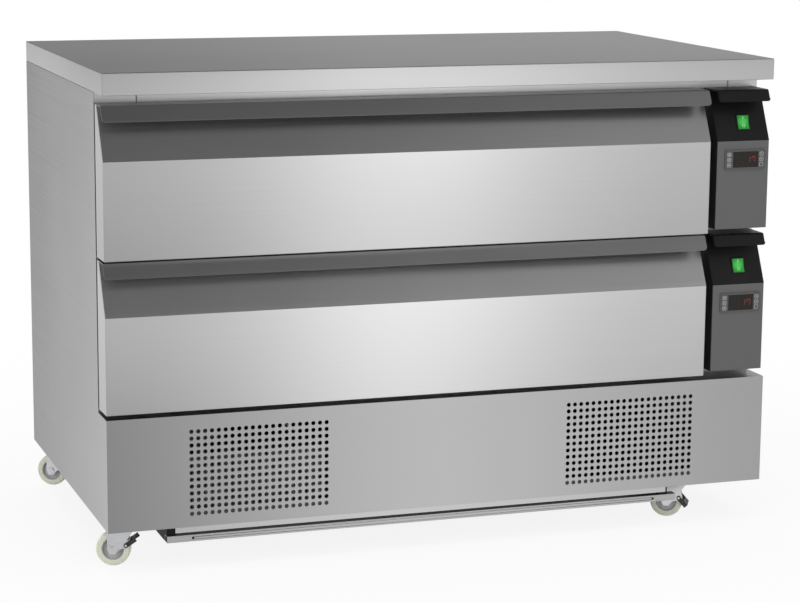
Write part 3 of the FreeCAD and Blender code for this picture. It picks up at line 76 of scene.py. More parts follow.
PHOTO_WIDTH = 800
FOCAL_PIXELS = 2384
SENSOR = 36
CAMERA_PLACE = (-1.421, -4.218, 1.218)
CAMERA_ANGLES = (-18.92, 10.63, 0.47)
azimuth, elevation, roll = (math.radians(angle) for angle in CAMERA_ANGLES)
back_way = Vector(
    (
        math.sin(azimuth) * math.cos(elevation),
        -math.cos(azimuth) * math.cos(elevation),
        math.sin(elevation),
    )
)
right_way = Vector((0, 0, 1)).cross(back_way).normalized()
up_way = back_way.cross(right_way)
camera_x = right_way * math.cos(roll) + up_way * math.sin(roll)
camera_y = up_way * math.cos(roll) - right_way * math.sin(roll)
camera = placed("camera", bpy.data.cameras.new("camera"))
camera.data.sensor_fit = "HORIZONTAL"
camera.data.sensor_width = SENSOR
camera.data.lens = FOCAL_PIXELS / PHOTO_WIDTH * SENSOR
camera.data.clip_end = 100
camera_matrix = Matrix((camera_x, camera_y, back_way)).transposed().to_4x4()
camera_matrix.translation = CAMERA_PLACE
camera.matrix_world = camera_matrix
bpy.context.scene.camera = camera
bpy.context.scene.view_settings.view_transform = "Standard"


# The stage is a plain pale floor that fades into a white room. The lamps are soft boxes:
# one in front, one at the left, one overhead and one behind.
def node(tree, kind, inputs=(), **settings):
    """A shader node with its settings, and its input sockets set or linked in pairs."""
    made = tree.nodes.new(kind)
    for name, value in settings.items():
        setattr(made, name, value)
    for socket, value in inputs:
        if isinstance(value, bpy.types.NodeSocket):
            tree.links.new(value, made.inputs[socket])
        else:
            made.inputs[socket].default_value = value
    return made


def math_node(tree, operation, first, second, clamp=False):
    """The result of a sum or product, held to 0..1 where clamp is set."""
    made = node(tree, "ShaderNodeMath", ((0, first), (1, second)), operation=operation)
    made.use_clamp = clamp
    return made.outputs[0]


def ranged(tree, value, limits, **settings):
    """A value from start to end mapped to one from first to last."""
    labels = ("From Min", "From Max", "To Min", "To Max")
    inputs = (("Value", value), *zip(labels, limits))
    return node(tree, "ShaderNodeMapRange", inputs, **settings).outputs[0]


def emptied(owner):
    """The node tree of a world or material, without its first nodes."""
    owner.use_nodes = True
    owner.node_tree.nodes.clear()
    return owner.node_tree


def seen_directly(tree):
    """1 for rays that show the room itself: from the camera, off metal or through glass."""
    path = node(tree, "ShaderNodeLightPath")
    total = math_node(tree, "ADD", path.outputs["Is Camera Ray"], path.outputs["Is Glossy Ray"])
    return math_node(tree, "ADD", total, path.outputs["Is Transmission Ray"], clamp=True)


WHITE = (1, 1, 1, 1)
FLOOR_COLOUR = (0.82, 0.82, 0.82, 1)
FLOOR_REACH = 14
FLOOR_FADE = (0.7, 2.2, 0.88, 1.0)
ROOM_LIGHT = 0.62

room = bpy.data.worlds.new("white_room")
bpy.context.scene.world = room
tree = emptied(room)
lit = node(tree, "ShaderNodeBackground", (("Color", WHITE), ("Strength", ROOM_LIGHT)))
shown = node(tree, "ShaderNodeBackground", (("Color", WHITE), ("Strength", 1)))
shares = ((0, seen_directly(tree)), (1, lit.outputs[0]), (2, shown.outputs[0]))
mixed = node(tree, "ShaderNodeMixShader", shares)
node(tree, "ShaderNodeOutputWorld", (("Surface", mixed.outputs[0]),))

floor_mesh = bpy.data.meshes.new("floor")
floor_mesh.from_pydata(
    [(x * FLOOR_REACH, y * FLOOR_REACH, 0) for x, y in ((-1, -1), (1, -1), (1, 1), (-1, 1))],
    [],
    [(0, 1, 2, 3)],
)
floor = placed("floor", floor_mesh)
floor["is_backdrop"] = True
floor.visible_glossy = False
floor_paint = bpy.data.materials.new("floor_paint")
tree = emptied(floor_paint)
place = node(tree, "ShaderNodeTexCoord")
away = node(tree, "ShaderNodeVectorMath", ((0, place.outputs["Object"]),), operation="LENGTH")
fade = ranged(tree, away.outputs["Value"], FLOOR_FADE, interpolation_type="SMOOTHSTEP")
share = math_node(tree, "MULTIPLY", fade, seen_directly(tree))
matt = node(tree, "ShaderNodeBsdfDiffuse", (("Color", FLOOR_COLOUR),))
glow = node(tree, "ShaderNodeEmission", (("Color", WHITE), ("Strength", 1)))
shares = ((0, share), (1, matt.outputs[0]), (2, glow.outputs[0]))
surface = node(tree, "ShaderNodeMixShader", shares)
node(tree, "ShaderNodeOutputMaterial", (("Surface", surface.outputs[0]),))
floor_mesh.materials.append(floor_paint)


def soft_box(name, place, target, width, height, power):
    """An area lamp that faces a point. Neither a camera nor a glossy surface shows it."""
    lamp = bpy.data.lights.new(name, "AREA")
    lamp.shape = "RECTANGLE"
    lamp.size = width
    lamp.size_y = height
    lamp.energy = power
    made = placed(name, lamp)
    made.location = place
    made.rotation_euler = (Vector(target) - Vector(place)).to_track_quat("-Z", "Y").to_euler()
    made.visible_camera = False
    made.visible_glossy = False


soft_box("front_softbox", (0.55, -2.2, 0.9), (0.2, -0.35, 0.45), 1.1, 1.6, 10)
soft_box("left_softbox", (-2.6, -0.9, 1.0), (-0.6, 0, 0.45), 1.2, 1.8, 16)
soft_box("overhead_softbox", (-0.3, -0.4, 2.8), (0, 0, 0.8), 2.6, 2.2, 34)
soft_box("rear_softbox", (0.8, 2.6, 1.5), (0, 0.35, 0.5), 2.0, 1.6, 26)


# Cards stand in front, above and behind, out of every camera's sight. Only metal and gloss
# show them. The front one carries the bright band across the drawers, and the others give
# the leaning bands and the worktop their depth.
def grid_faces(rows, columns, around_rows=False, around_columns=False):
    """Quads over a grid of points numbered row by row, joined up where it is closed."""
    i = np.arange(rows if around_rows else rows - 1)
    j = np.arange(columns if around_columns else columns - 1)
    i, j = np.meshgrid(i, j, indexing="ij")
    i, j = i.ravel(), j.ravel()
    here, below = i * columns, (i + 1) % rows * columns
    after = (j + 1) % columns
    return np.stack([here + j, here + after, below + after, below + j], axis=1)


def glossy_card(name, corner, across, up, glow, cells=40):
    """A flat card that only glossy rays see. Its glow is a function of the points on it."""
    share = np.linspace(0, 1, cells + 1)
    u, v = (some[..., None] for some in np.meshgrid(share, share, indexing="ij"))
    points = (np.array(corner) + u * np.array(across) + v * np.array(up)).reshape(-1, 3)
    mesh = bpy.data.meshes.new(name)
    mesh.from_pydata(points.tolist(), [], grid_faces(cells + 1, cells + 1).tolist())
    mesh.attributes.new("glow", "FLOAT", "POINT").data.foreach_set("value", glow(*points.T))
    card = placed(name, mesh)
    for sight in ("visible_camera", "visible_diffuse", "visible_shadow", "visible_transmission"):
        setattr(card, sight, False)
    card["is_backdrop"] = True
    cloth = bpy.data.materials.new(f"{name}_cloth")
    cloth.cycles.emission_sampling = "NONE"
    tree = emptied(cloth)
    share = node(tree, "ShaderNodeAttribute", attribute_name="glow")
    values = (("Color", WHITE), ("Strength", share.outputs["Fac"]))
    light = node(tree, "ShaderNodeEmission", values)
    node(tree, "ShaderNodeOutputMaterial", (("Surface", light.outputs[0]),))
    mesh.materials.append(cloth)


def bell(x, middle, width):
    """1 at the middle, falling with the distance as exp(-d**2 / (2 width**2))."""
    return np.exp(-(((x - middle) / width) ** 2) / 2)


def slope_between(x, start, end, first, last):
    """first before start, last after end, and a straight line between them."""
    return first + (last - first) * np.clip((x - start) / (end - start), 0, 1)


BAND_GLOW, BAND_MIDDLE, BAND_WIDTH = 1.15, 0.58, 0.38


def front_glow(x, y, z):
    """A base that grows to the right, plus a bell across X that is stronger higher up, less
    a share that grows towards the lower left."""
    base = slope_between(x, -0.3, 0.3, 0.88, 1.06)
    band = (BAND_GLOW + slope_between(z, 0.4, 0.6, 0, 0.3)) * bell(x, BAND_MIDDLE, BAND_WIDTH)
    dimmed = slope_between(x, -0.5, 0.5, 0.3, 0) * slope_between(z, -0.6, -0.25, 1, 0)
    return base + band - dimmed


glossy_card("front_card", (-5, -2.3, -3.0), (11, 0, 0), (0, 0, 4.3), front_glow)
glossy_card(
    "overhead_card",
    (-3.2, -3.4, 1.75),
    (6.8, 0, 0),
    (0, 3.8, 1.25),
    lambda x, y, z: slope_between(x, -0.2, 1.8, 0.17, 0.44),
)
glossy_card(
    "rear_card",
    (-4.5, 1.6, 0.87),
    (9, 0, 0),
    (0, -1.2, 2.13),
    lambda x, y, z: slope_between(x, -0.3, 0.4, 0.39, 0.55),
)


# Worktop: one sheet of brushed stainless steel folded into a flat tray with a straight
# 38 mm edge. Its grain runs along the counter, as on every steel panel at the front.
def node_group(name, inputs, outputs):
    """An empty shader group with its sockets, and its input and output nodes."""
    group = bpy.data.node_groups.new(name, "ShaderNodeTree")
    for label, kind, value in inputs:
        socket = group.interface.new_socket(label, in_out="INPUT", socket_type=kind)
        socket.default_value = value
    for label, kind in outputs:
        group.interface.new_socket(label, in_out="OUTPUT", socket_type=kind)
    return group, node(group, "NodeGroupInput"), node(group, "NodeGroupOutput")


FLOAT, COLOUR, VECTOR = "NodeSocketFloat", "NodeSocketColor", "NodeSocketVector"
GRAIN_OUTPUTS = (("Color", COLOUR), ("Roughness", FLOAT), ("Height", FLOAT))


def noise(group, place, scale, detail, roughness=0.5):
    """A noise from 0 to 1 over places in the part's frame."""
    inputs = (("Vector", place), ("Scale", scale), ("Detail", detail), ("Roughness", roughness))
    return node(group, "ShaderNodeTexNoise", inputs).outputs["Fac"]


def scaled(tree, colour, factor):
    """A colour times a factor."""
    inputs = ((0, colour), ("Scale", factor))
    return node(tree, "ShaderNodeVectorMath", inputs, operation="SCALE").outputs[0]


def grain_outputs(group, given, result, grain, height, unevenness):
    """The tone times 1 plus grain times contrast, and the roughness plus the grain times its
    unevenness, from the group's own inputs."""
    change = math_node(group, "MULTIPLY", grain, given.outputs["Contrast"])
    toned = scaled(group, given.outputs["Tone"], math_node(group, "ADD", change, 1))
    spread = math_node(group, "MULTIPLY", grain, unevenness)
    rougher = math_node(group, "ADD", given.outputs["Roughness"], spread, clamp=True)
    for label, value in (("Color", toned), ("Roughness", rougher), ("Height", height)):
        group.links.new(value, result.inputs[label])


brushed_grain, given, result = node_group(
    "brushed_grain",
    (
        ("Place", VECTOR, (0, 0, 0)),
        ("Grain", VECTOR, (1, 1, 1)),
        ("Tone", COLOUR, WHITE),
        ("Contrast", FLOAT, 0.1),
        ("Roughness", FLOAT, 0.3),
    ),
    GRAIN_OUTPUTS,
)
CLOUD_SHARE = 0.35
stretched = node(
    brushed_grain,
    "ShaderNodeVectorMath",
    ((0, given.outputs["Place"]), (1, given.outputs["Grain"])),
    operation="MULTIPLY",
)
streaks = noise(brushed_grain, stretched.outputs[0], scale=1, detail=4, roughness=0.65)
clouds = noise(brushed_grain, given.outputs["Place"], scale=3.5, detail=2)
streak = math_node(brushed_grain, "SUBTRACT", streaks, 0.5)
cloud = math_node(brushed_grain, "SUBTRACT", clouds, 0.5)
cloud = math_node(brushed_grain, "MULTIPLY", cloud, CLOUD_SHARE)
both = math_node(brushed_grain, "ADD", streak, cloud)
grain_outputs(brushed_grain, given, result, both, streaks, unevenness=0.22)


def material(name, group, values, height=0.0, **constants):
    """A Principled material whose colour, roughness and relief come from a group."""
    made = bpy.data.materials.new(name)
    made.use_nodes = True
    tree = made.node_tree
    shader = tree.nodes["Principled BSDF"]
    coordinates = node(tree, "ShaderNodeTexCoord")
    pattern = node(tree, "ShaderNodeGroup", node_tree=group)
    tree.links.new(coordinates.outputs["Object"], pattern.inputs["Place"])
    for label, value in values.items():
        pattern.inputs[label].default_value = value
    tree.links.new(pattern.outputs["Color"], shader.inputs["Base Color"])
    tree.links.new(pattern.outputs["Roughness"], shader.inputs["Roughness"])
    if height:
        relief = node(
            tree,
            "ShaderNodeBump",
            (("Height", pattern.outputs["Height"]), ("Strength", 1), ("Distance", height)),
        )
        tree.links.new(relief.outputs[0], shader.inputs["Normal"])
    for label, value in constants.items():
        shader.inputs[label.replace("_", " ")].default_value = value
    return made


ALONG_X = (1.6, 900, 900)
ALONG_Y = (900, 1.6, 900)
STEEL_RELIEF = 0.000015
SHARP = 32


def brushed_steel(name, level, grain, roughness=0.34, contrast=0.16, metallic=1.0):
    """Grey steel whose noise is stretched along the grain."""
    tone = (level, level, level, 1)
    values = {"Grain": grain, "Tone": tone, "Contrast": contrast, "Roughness": roughness}
    return material(name, brushed_grain, values, STEEL_RELIEF, Metallic=metallic)


def piece_from(mesh, finish, body, slot=None, replaces=(), sharp=SHARP):
    """A mesh as a piece, with its finish, its body and the nodes that it stands for."""
    mesh.shade_smooth()
    mesh.set_sharp_from_angle(angle=math.radians(sharp))
    mesh.materials.append(finish)
    piece = placed(mesh.name, mesh)
    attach(piece, body)
    if replaces:
        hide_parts(*replaces)
    return piece


def new_piece(name, points, faces, *about, **settings):
    """A piece made from points and faces. What it is given else goes to piece_from."""
    mesh = bpy.data.meshes.new(name)
    mesh.from_pydata([tuple(p) for p in np.asarray(points, float)], [], [list(f) for f in faces])
    mesh.validate()
    return piece_from(mesh, *about, **settings)


def rounded_block(low, high, radius, steps=3):
    """A block with round edges: the points of a cube are pulled onto an inner block, and
    pushed out again by the radius along the line between the two."""
    low, high = np.array(low, float), np.array(high, float)
    turn = np.linspace(0, math.pi / 4, steps + 1)
    lead = np.tan(turn)
    side = np.concatenate([-1 - lead[::-1], 1 + lead])
    count = len(side)
    across, up = np.meshgrid(side, side, indexing="ij")
    points, faces = [], []
    for axis in range(3):
        for sign in (-1, 1):
            face = np.empty((count, count, 3))
            face[..., axis] = sign * 2
            face[..., (axis + 1) % 3] = across
            face[..., (axis + 2) % 3] = up
            core = np.clip(face, -1, 1)
            way = face - core
            way /= np.linalg.norm(way, axis=-1, keepdims=True)
            middle = np.where(core < 0, low + radius, high - radius)
            points.append((middle + way * radius).reshape(-1, 3))
            quads = grid_faces(count, count)
            quads = quads[:, ::-1] if sign < 0 else quads
            faces.append(quads + len(faces) * count * count)
    points = np.concatenate(points)
    whole, index = np.unique(np.round(points, 7), axis=0, return_inverse=True)
    return whole, index.ravel()[np.concatenate(faces)]


low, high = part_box("worktop")
EDGE_FOLD = 0.0016
worktop_steel = brushed_steel("worktop_steel", 0.40, ALONG_X, 0.36)
tray = rounded_block(low, high, EDGE_FOLD)
new_piece("worktop_tray", *tray, worktop_steel, "cabinet", "brushed_steel", ("worktop",))


# Side panels and front frame: thin steel sheets fixed over the insulated body. The grain
# of the sides runs from front to back. The frame's seams show as dark lines.
def dress(finish, *names):
    """Gives CAD nodes their finish and leaves their shape alone."""
    for name in names:
        held = frame["nodes"][name].data
        held.materials.clear()
        held.materials.append(finish)


def paint_light_and_shade(finish, axis, start, end, first, last):
    """Paints light and shade: scales a finish's colour along an axis, first at start, last at end.
    """
    tree = finish.node_tree
    socket = tree.nodes["Principled BSDF"].inputs["Base Color"]
    place = node(tree, "ShaderNodeTexCoord")
    parts = node(tree, "ShaderNodeSeparateXYZ", ((0, place.outputs["Object"]),))
    share = ranged(tree, parts.outputs[axis], (start, end, first, last))
    tree.links.new(scaled(tree, socket.links[0].from_socket, share), socket)


# Painted shade on the side panels: their colour darkens towards the back and towards the top.
SIDE_BACK_PAINTED_SHADE, SIDE_TOP_PAINTED_SHADE = 0.52, 0.84
side_steel = brushed_steel("side_steel", 0.37, ALONG_Y, 0.36)
low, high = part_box("left_side_panel")
paint_light_and_shade(side_steel, "Y", low.y, high.y, 1.0, SIDE_BACK_PAINTED_SHADE)
paint_light_and_shade(side_steel, "Z", low.z, high.z, 1.0, SIDE_TOP_PAINTED_SHADE)
dress(side_steel, "left_side_panel", "right_side_panel")
front_steel = brushed_steel("front_steel", 0.42, ALONG_X, 0.30)
dress(front_steel, "front_frame")

# Base panel: a steel sheet with two fields of punched holes, flush with the drawers. Its
# left half has painted shade, darker towards the corner.
BASE_PAINTED_SHADE = (0.74, 0.96)
base_steel = brushed_steel("base_steel", 0.30, ALONG_X, 0.34)
low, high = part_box("base_grille")
paint_light_and_shade(base_steel, "X", low.x, (low.x + high.x) / 2, *BASE_PAINTED_SHADE)
dress(base_steel, "base_grille")

# Rear panel and base pan: galvanised sheet with a faint spangle. The rear panel's slots
# let the warm air out.
surface_grain, given, result = node_group(
    "surface_grain",
    (
        ("Place", VECTOR, (0, 0, 0)),
        ("Scale", FLOAT, 400),
        ("Tone", COLOUR, WHITE),
        ("Contrast", FLOAT, 0.1),
        ("Roughness", FLOAT, 0.5),
    ),
    GRAIN_OUTPUTS,
)
fine = noise(surface_grain, given.outputs["Place"], given.outputs["Scale"], detail=3)
broad = noise(surface_grain, given.outputs["Place"], scale=11, detail=3)
grain = math_node(surface_grain, "SUBTRACT", fine, 0.5)
patch = math_node(surface_grain, "SUBTRACT", broad, 0.5)
both = math_node(surface_grain, "ADD", grain, patch)
grain_outputs(surface_grain, given, result, both, fine, unevenness=0.3)


def moulded(name, tone, roughness, scale=900, contrast=0.25, height=0.00003, **constants):
    """A finish with an even grain, for plastic, rubber, plating and paint."""
    values = {"Scale": scale, "Tone": (*tone, 1), "Contrast": contrast, "Roughness": roughness}
    return material(name, surface_grain, values, height, **constants)


galvanised = moulded("galvanised", (0.42, 0.43, 0.44), 0.42, 60, 0.35, 0.00001, Metallic=1.0)
dress(galvanised, "rear_panel")
# The base pan's near-black tone is painted shade, so the holes in the base panel look dark.
pan_painted_shade = moulded("pan_painted_shade", (0.05, 0.05, 0.052), 0.5, 90, 0.3, 0.00001, Metallic=1.0)
dress(pan_painted_shade, "base_pan")


# Drawer fronts: each is a foam-filled body of one folded sheet, upright below the crease
# and leaning back above it, under a flat plate whose front edge is turned down as a lip of
# the same lean. Painted shade darkens the sheet towards the bottom, and painted light lifts
# it a touch from the crease up.
def profile_with_arcs(points, radii, steps=5):
    """A closed outline whose corners are arcs. Each arc starts and ends at radius times
    the tangent of half the turn from its corner."""
    points = np.array(points, float)
    found = []
    for i, corner in enumerate(points):
        before, after = points[i - 1] - corner, points[(i + 1) % len(points)] - corner
        before /= np.linalg.norm(before)
        after /= np.linalg.norm(after)
        if not radii[i]:
            found.append(corner[None])
            continue
        half = math.acos(np.clip(before @ after, -1, 1)) / 2
        middle = corner + (before + after) / np.linalg.norm(before + after) * (
            radii[i] / math.sin(half)
        )
        first = corner + before * radii[i] / math.tan(half) - middle
        last = corner + after * radii[i] / math.tan(half) - middle
        share = np.linspace(0, 1, steps + 1)[:, None]
        arc = first * (1 - share) + last * share
        arc *= radii[i] / np.linalg.norm(arc, axis=1, keepdims=True)
        found.append(middle + arc)
    return np.concatenate(found)


def inset(outline, distance):
    """A closed outline moved inwards along its own normals."""
    along = np.roll(outline, -1, axis=0) - np.roll(outline, 1, axis=0)
    normal = np.stack([-along[:, 1], along[:, 0]], axis=1)
    normal /= np.linalg.norm(normal, axis=1, keepdims=True)
    nexts = np.roll(outline, -1, axis=0)
    area = np.sum(outline[:, 0] * nexts[:, 1] - nexts[:, 0] * outline[:, 1])
    return outline + normal * distance * (1 if area > 0 else -1)


def rounded_run(outline, start, end, radius, steps=3):
    """A (y, z) outline carried along X, with round edges at both ends: towards an end the
    outline shrinks by radius less the sine, as X moves by radius less the cosine."""
    turn = np.linspace(0, math.pi / 2, steps + 1)
    rings = []
    for x, sign in ((start, 1), (end, -1)):
        some = [
            (x + sign * radius * (1 - math.cos(t)), inset(outline, radius * (1 - math.sin(t))))
            for t in turn
        ]
        rings.extend(some if sign > 0 else some[::-1])
    count = len(outline)
    points = np.concatenate([np.column_stack([np.full(count, x), ring]) for x, ring in rings])
    faces = [list(face) for face in grid_faces(len(rings), count, False, True)]
    faces.append(list(range(count)))
    faces.append(list(range(len(points) - count, len(points))))
    return points, faces


def folded_plate(outer, inner, start, end):
    """A sheet between two matching (y, z) lines, whose X limits differ along them."""
    lines = np.concatenate([outer, inner[::-1]])
    starts, ends = np.concatenate([start, start[::-1]]), np.concatenate([end, end[::-1]])
    count = len(outer)
    points = np.concatenate([np.column_stack([x, lines]) for x in (starts, ends)])
    faces = [list(face) for face in grid_faces(2, 2 * count, False, True)]
    for base in (0, 2 * count):
        for i in range(count - 1):
            far = 2 * count - 1 - i
            faces.append([base + i, base + i + 1, base + far - 1, base + far])
    return points, faces


def rounded_edges(piece, width, segments=2, angle=SHARP):
    """Rounds the edges where two faces meet at more than an angle, and keeps flat faces
    flat to the eye by weighting the normals by the faces' areas."""
    rounding = piece.modifiers.new("edges", "BEVEL")
    rounding.width = width
    rounding.segments = segments
    rounding.limit_method = "ANGLE"
    rounding.angle_limit = math.radians(angle)
    shading = piece.modifiers.new("shading", "WEIGHTED_NORMAL")
    shading.keep_sharp = True


def outward(piece, bevel=0, segments=2, angle=40):
    """Points a closed mesh's faces outwards and, if asked, rounds its edges a little."""
    shape = bmesh.new()
    shape.from_mesh(piece.data)
    bmesh.ops.recalc_face_normals(shape, faces=shape.faces)
    shape.to_mesh(piece.data)
    shape.free()
    if bevel:
        rounded_edges(piece, bevel, segments, angle)


LEVELS = ("lower", "upper")
SHEET = 0.0012
CREASE_RISE = 0.168
RECESS = 0.045
LIP = 0.026
LIP_CORNER, LIP_TOP_CORNER = 0.007, 0.004
TOP_CUT_SHARE = 0.6
FOLD = 0.0018
END_ROUND = FOLD * 0.7
AFTER_FOLD = 0.0015
BEND_POINTS, LOW_POINTS, TOP_POINTS = 7, 9, 5
# Painted shade and light on the fronts' sheet: a colour scale from the bottom to the crease.
FRONT_PAINTED_SHADE = (0.9, 1.04)
# The upper front's steel is a painted shade darker than the lower one's.
DRAWER_PAINTED_TONES = {"lower": 0.455, "upper": 0.42}
# The lip's steel is darker than the fronts' by painted shade.
lip_painted_shade_steel = brushed_steel("lip_painted_shade_steel", 0.31, ALONG_X, 0.33)
for level in LEVELS:
    low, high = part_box(f"{level}_drawer_front")
    crease = low.z + CREASE_RISE
    drawer_steel = brushed_steel(f"{level}_drawer_steel", DRAWER_PAINTED_TONES[level], ALONG_X, 0.33)
    paint_light_and_shade(drawer_steel, "Z", low.z, crease, *FRONT_PAINTED_SHADE)
    under = high.z - SHEET
    corners = [(high.y, low.z), (low.y, low.z), (low.y, crease)]
    corners += [(low.y + RECESS, under), (high.y, under)]
    body_outline = profile_with_arcs(corners, [0, FOLD, FOLD, 0, 0])
    body = rounded_run(body_outline, low.x, high.x, END_ROUND)
    held = (f"{level}_drawer", "brushed_steel", (f"{level}_drawer_front",))
    outward(new_piece(f"{level}_front_body", *body, drawer_steel, *held, sharp=50))
    slope = RECESS / (under - crease)
    lean = math.atan(slope)
    turn = np.linspace(lean, math.pi / 2, BEND_POINTS)
    folded_at = LIP - FOLD * (1 - math.sin(lean))
    rise = np.concatenate(
        [
            np.linspace(0, LIP_CORNER, LOW_POINTS),
            [LIP - LIP_TOP_CORNER - FOLD],
            np.linspace(LIP - LIP_TOP_CORNER, folded_at, TOP_POINTS)[:-1],
        ]
    )
    fold_y = low.y + slope * folded_at + FOLD * math.cos(lean)
    plate_y = np.array([fold_y + AFTER_FOLD, fold_y + LIP_TOP_CORNER, high.y])
    lines = [
        np.concatenate(
            [
                np.column_stack([low.y + slope * rise + shift, high.z - LIP + rise]),
                np.column_stack(
                    [fold_y - bend * np.cos(turn), high.z - FOLD + bend * np.sin(turn)]
                ),
                np.column_stack([plate_y, np.full(3, high.z - FOLD + bend)]),
            ]
        )
        for shift, bend in ((0, FOLD), (SHEET / math.cos(lean), FOLD - SHEET))
    ]
    outer, inner = lines
    up = outer[:, 1] - (high.z - LIP)
    below = np.clip(LIP_CORNER - up, 0, None)
    cut_low = LIP_CORNER - np.sqrt(np.clip(LIP_CORNER**2 - below**2, 0, None))
    reach = np.linalg.norm(outer - (low.y + slope * LIP, high.z), axis=1)
    above = np.clip(LIP_TOP_CORNER - reach, 0, None)
    cut_top = LIP_TOP_CORNER - np.sqrt(np.clip(LIP_TOP_CORNER**2 - above**2, 0, None))
    cut_right = np.maximum(cut_low, cut_top * TOP_CUT_SHARE)
    lip = folded_plate(outer, inner, low.x + cut_low, high.x - cut_right)
    outward(new_piece(f"{level}_front_lip", *lip, lip_painted_shade_steel, *held, sharp=50), 0.0005, 3)


# Drawer boxes, gaskets and runners: a deep steel tub welded to the front's inner panel, a
# magnetic rubber gasket round it, and zinc-plated telescopic runners on both sides.
def closed_solids(mesh):
    """The solids of a CAD mesh, as lists of faces by their corners' places. Faces are taken
    in order, and a solid ends where every edge has been met an even number of times."""
    places = [tuple(round(c, 6) for c in v.co) for v in mesh.vertices]
    solids, open_edges = [[]], set()
    for face in mesh.polygons:
        corners = [places[v] for v in face.vertices]
        for a, b in zip(corners, corners[1:] + corners[:1]):
            if a != b:
                open_edges ^= {frozenset((a, b))}
        if len(set(corners)) == len(corners):
            solids[-1].append(corners)
        if not open_edges:
            solids.append([])
    return [solid for solid in solids if solid]


FLAT = math.radians(0.4)


def worked_copy(name, source, finish, body, slot, bevel=0.0004, keep=None, corners=None):
    """The CAD solids as one clean mesh with small round edges. keep picks solids by their
    lowest and highest corners, and corners picks edges for a larger radius."""
    shape = bmesh.new()
    for solid in closed_solids(frame["nodes"][source].data):
        spots = np.array([place for face in solid for place in face])
        if keep and not keep(spots.min(0), spots.max(0)):
            continue
        vertices = {}
        for face in solid:
            for place in face:
                if place not in vertices:
                    vertices[place] = shape.verts.new(place)
            shape.faces.new([vertices[place] for place in face])
    if corners:
        test, radius, steps = corners
        chosen = [e for e in shape.edges if test(e.verts[0].co, e.verts[1].co)]
        bmesh.ops.bevel(
            shape, geom=chosen, offset=radius, segments=steps, profile=0.5, affect="EDGES"
        )
    else:
        bmesh.ops.dissolve_limit(shape, angle_limit=FLAT, verts=shape.verts, edges=shape.edges)
    bmesh.ops.recalc_face_normals(shape, faces=shape.faces)
    mesh = bpy.data.meshes.new(name)
    shape.to_mesh(mesh)
    shape.free()
    rounded_edges(piece_from(mesh, finish, body, slot, (source,)), bevel)


liner_steel = brushed_steel("liner_steel", 0.62, ALONG_Y, 0.36, metallic=0.45)
zinc = moulded("zinc", (0.6, 0.61, 0.62), 0.3, 240, 0.2, 0.00001, Metallic=1.0)
gasket_rubber = moulded("gasket_rubber", (0.16, 0.16, 0.165), 0.6, 500, 0.3, 0.00003)
foam_finish = moulded("foam_finish", (0.34, 0.31, 0.23), 0.85, 300, 0.4, 0.0002)
GASKET_PROFILE = [
    (0, 0), (0.014, 0), (0.014, 0.0018), (0.0118, 0.0030),
    (0.0136, 0.0046), (0.0128, 0.0072), (0.0112, 0.0087), (0.0028, 0.0087),
    (0.0012, 0.0072), (0.0004, 0.0046), (0.0022, 0.0030), (0, 0.0018),
]
dress(liner_steel, "cavity_liners")
dress(foam_finish, "insulation_foam", "lower_front_core", "upper_front_core")
worked_copy("cabinet_runners_worked", "cabinet_runners", zinc, "cabinet", "zinc_steel", 0.0003)
for level in LEVELS:
    drawer = f"{level}_drawer"
    worked_copy(f"{level}_tub", f"{level}_drawer_box", liner_steel, drawer, "liner_steel", 0.0005)
    worked_copy(
        f"{level}_drawer_members", f"{level}_drawer_runners", zinc, drawer, "zinc_steel", 0.0003
    )
    members, source = f"{level}_middle_members", f"{level}_runner_middles"
    worked_copy(members, source, zinc, f"{level}_middles", "zinc_steel", 0.0003)
    low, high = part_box(f"{level}_gasket")
    across, deep = np.array(GASKET_PROFILE).T
    left, right, bottom, top = low.x + across, high.x - across, low.z + across, high.z - across
    corners = ((left, bottom), (right, bottom), (right, top), (left, top))
    rings = np.stack([np.stack([x, low.y + deep, z], axis=1) for x, z in corners], axis=1)
    gasket = new_piece(
        f"{level}_gasket_ring",
        rings.reshape(-1, 3),
        grid_faces(len(across), 4, True, True),
        gasket_rubber,
        drawer,
        "gasket_rubber",
        (f"{level}_gasket",),
        sharp=60,
    )
    outward(gasket, 0.0004)


# Control modules: black moulded housings with the drawers' own profile, each with a dark
# grey fascia plate over its lower part.
black_plastic = moulded(
    "black_plastic", (0.008, 0.008, 0.008), 0.36, 1400, 0.3, 0.00001, Specular_IOR_Level=0.22
)
fascia_grey = moulded(
    "fascia_grey", (0.1, 0.1, 0.1), 0.55, 1600, 0.2, 0.00002, Specular_IOR_Level=0.3
)
low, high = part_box("module_housings")
module_left, module_right, module_front = low.x, high.x, low.y
NEAR = 0.00005
MODULE_EDGE = 0.0028
MODULE_LIP = 0.021
MODULE_RECESS, MODULE_RISE = 0.0425, 0.0895
MODULE_SLOPE = MODULE_RECESS / MODULE_RISE
WIDE = 0.06
module_tops = [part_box(f"{level}_drawer_front")[1].z for level in LEVELS]


def outer_edge_of_module(a, b):
    """Edges along the top plate's front and sides, and the leaning ones of the lip's ends:
    on the lip, y less the front is the slope times the height above its lower edge."""
    sides = (module_left, module_right)
    at_side = any(abs(a.x - x) < NEAR and abs(b.x - x) < NEAR for x in sides)
    for top in module_tops:
        foot = top - MODULE_LIP
        on_lip = [
            abs(p.y - module_front - MODULE_SLOPE * (p.z - foot)) < NEAR for p in (a, b)
        ]
        if abs(a.z - top) < NEAR and abs(b.z - top) < NEAR:
            return all(on_lip) != at_side
        if at_side and all(on_lip):
            return True
    return False


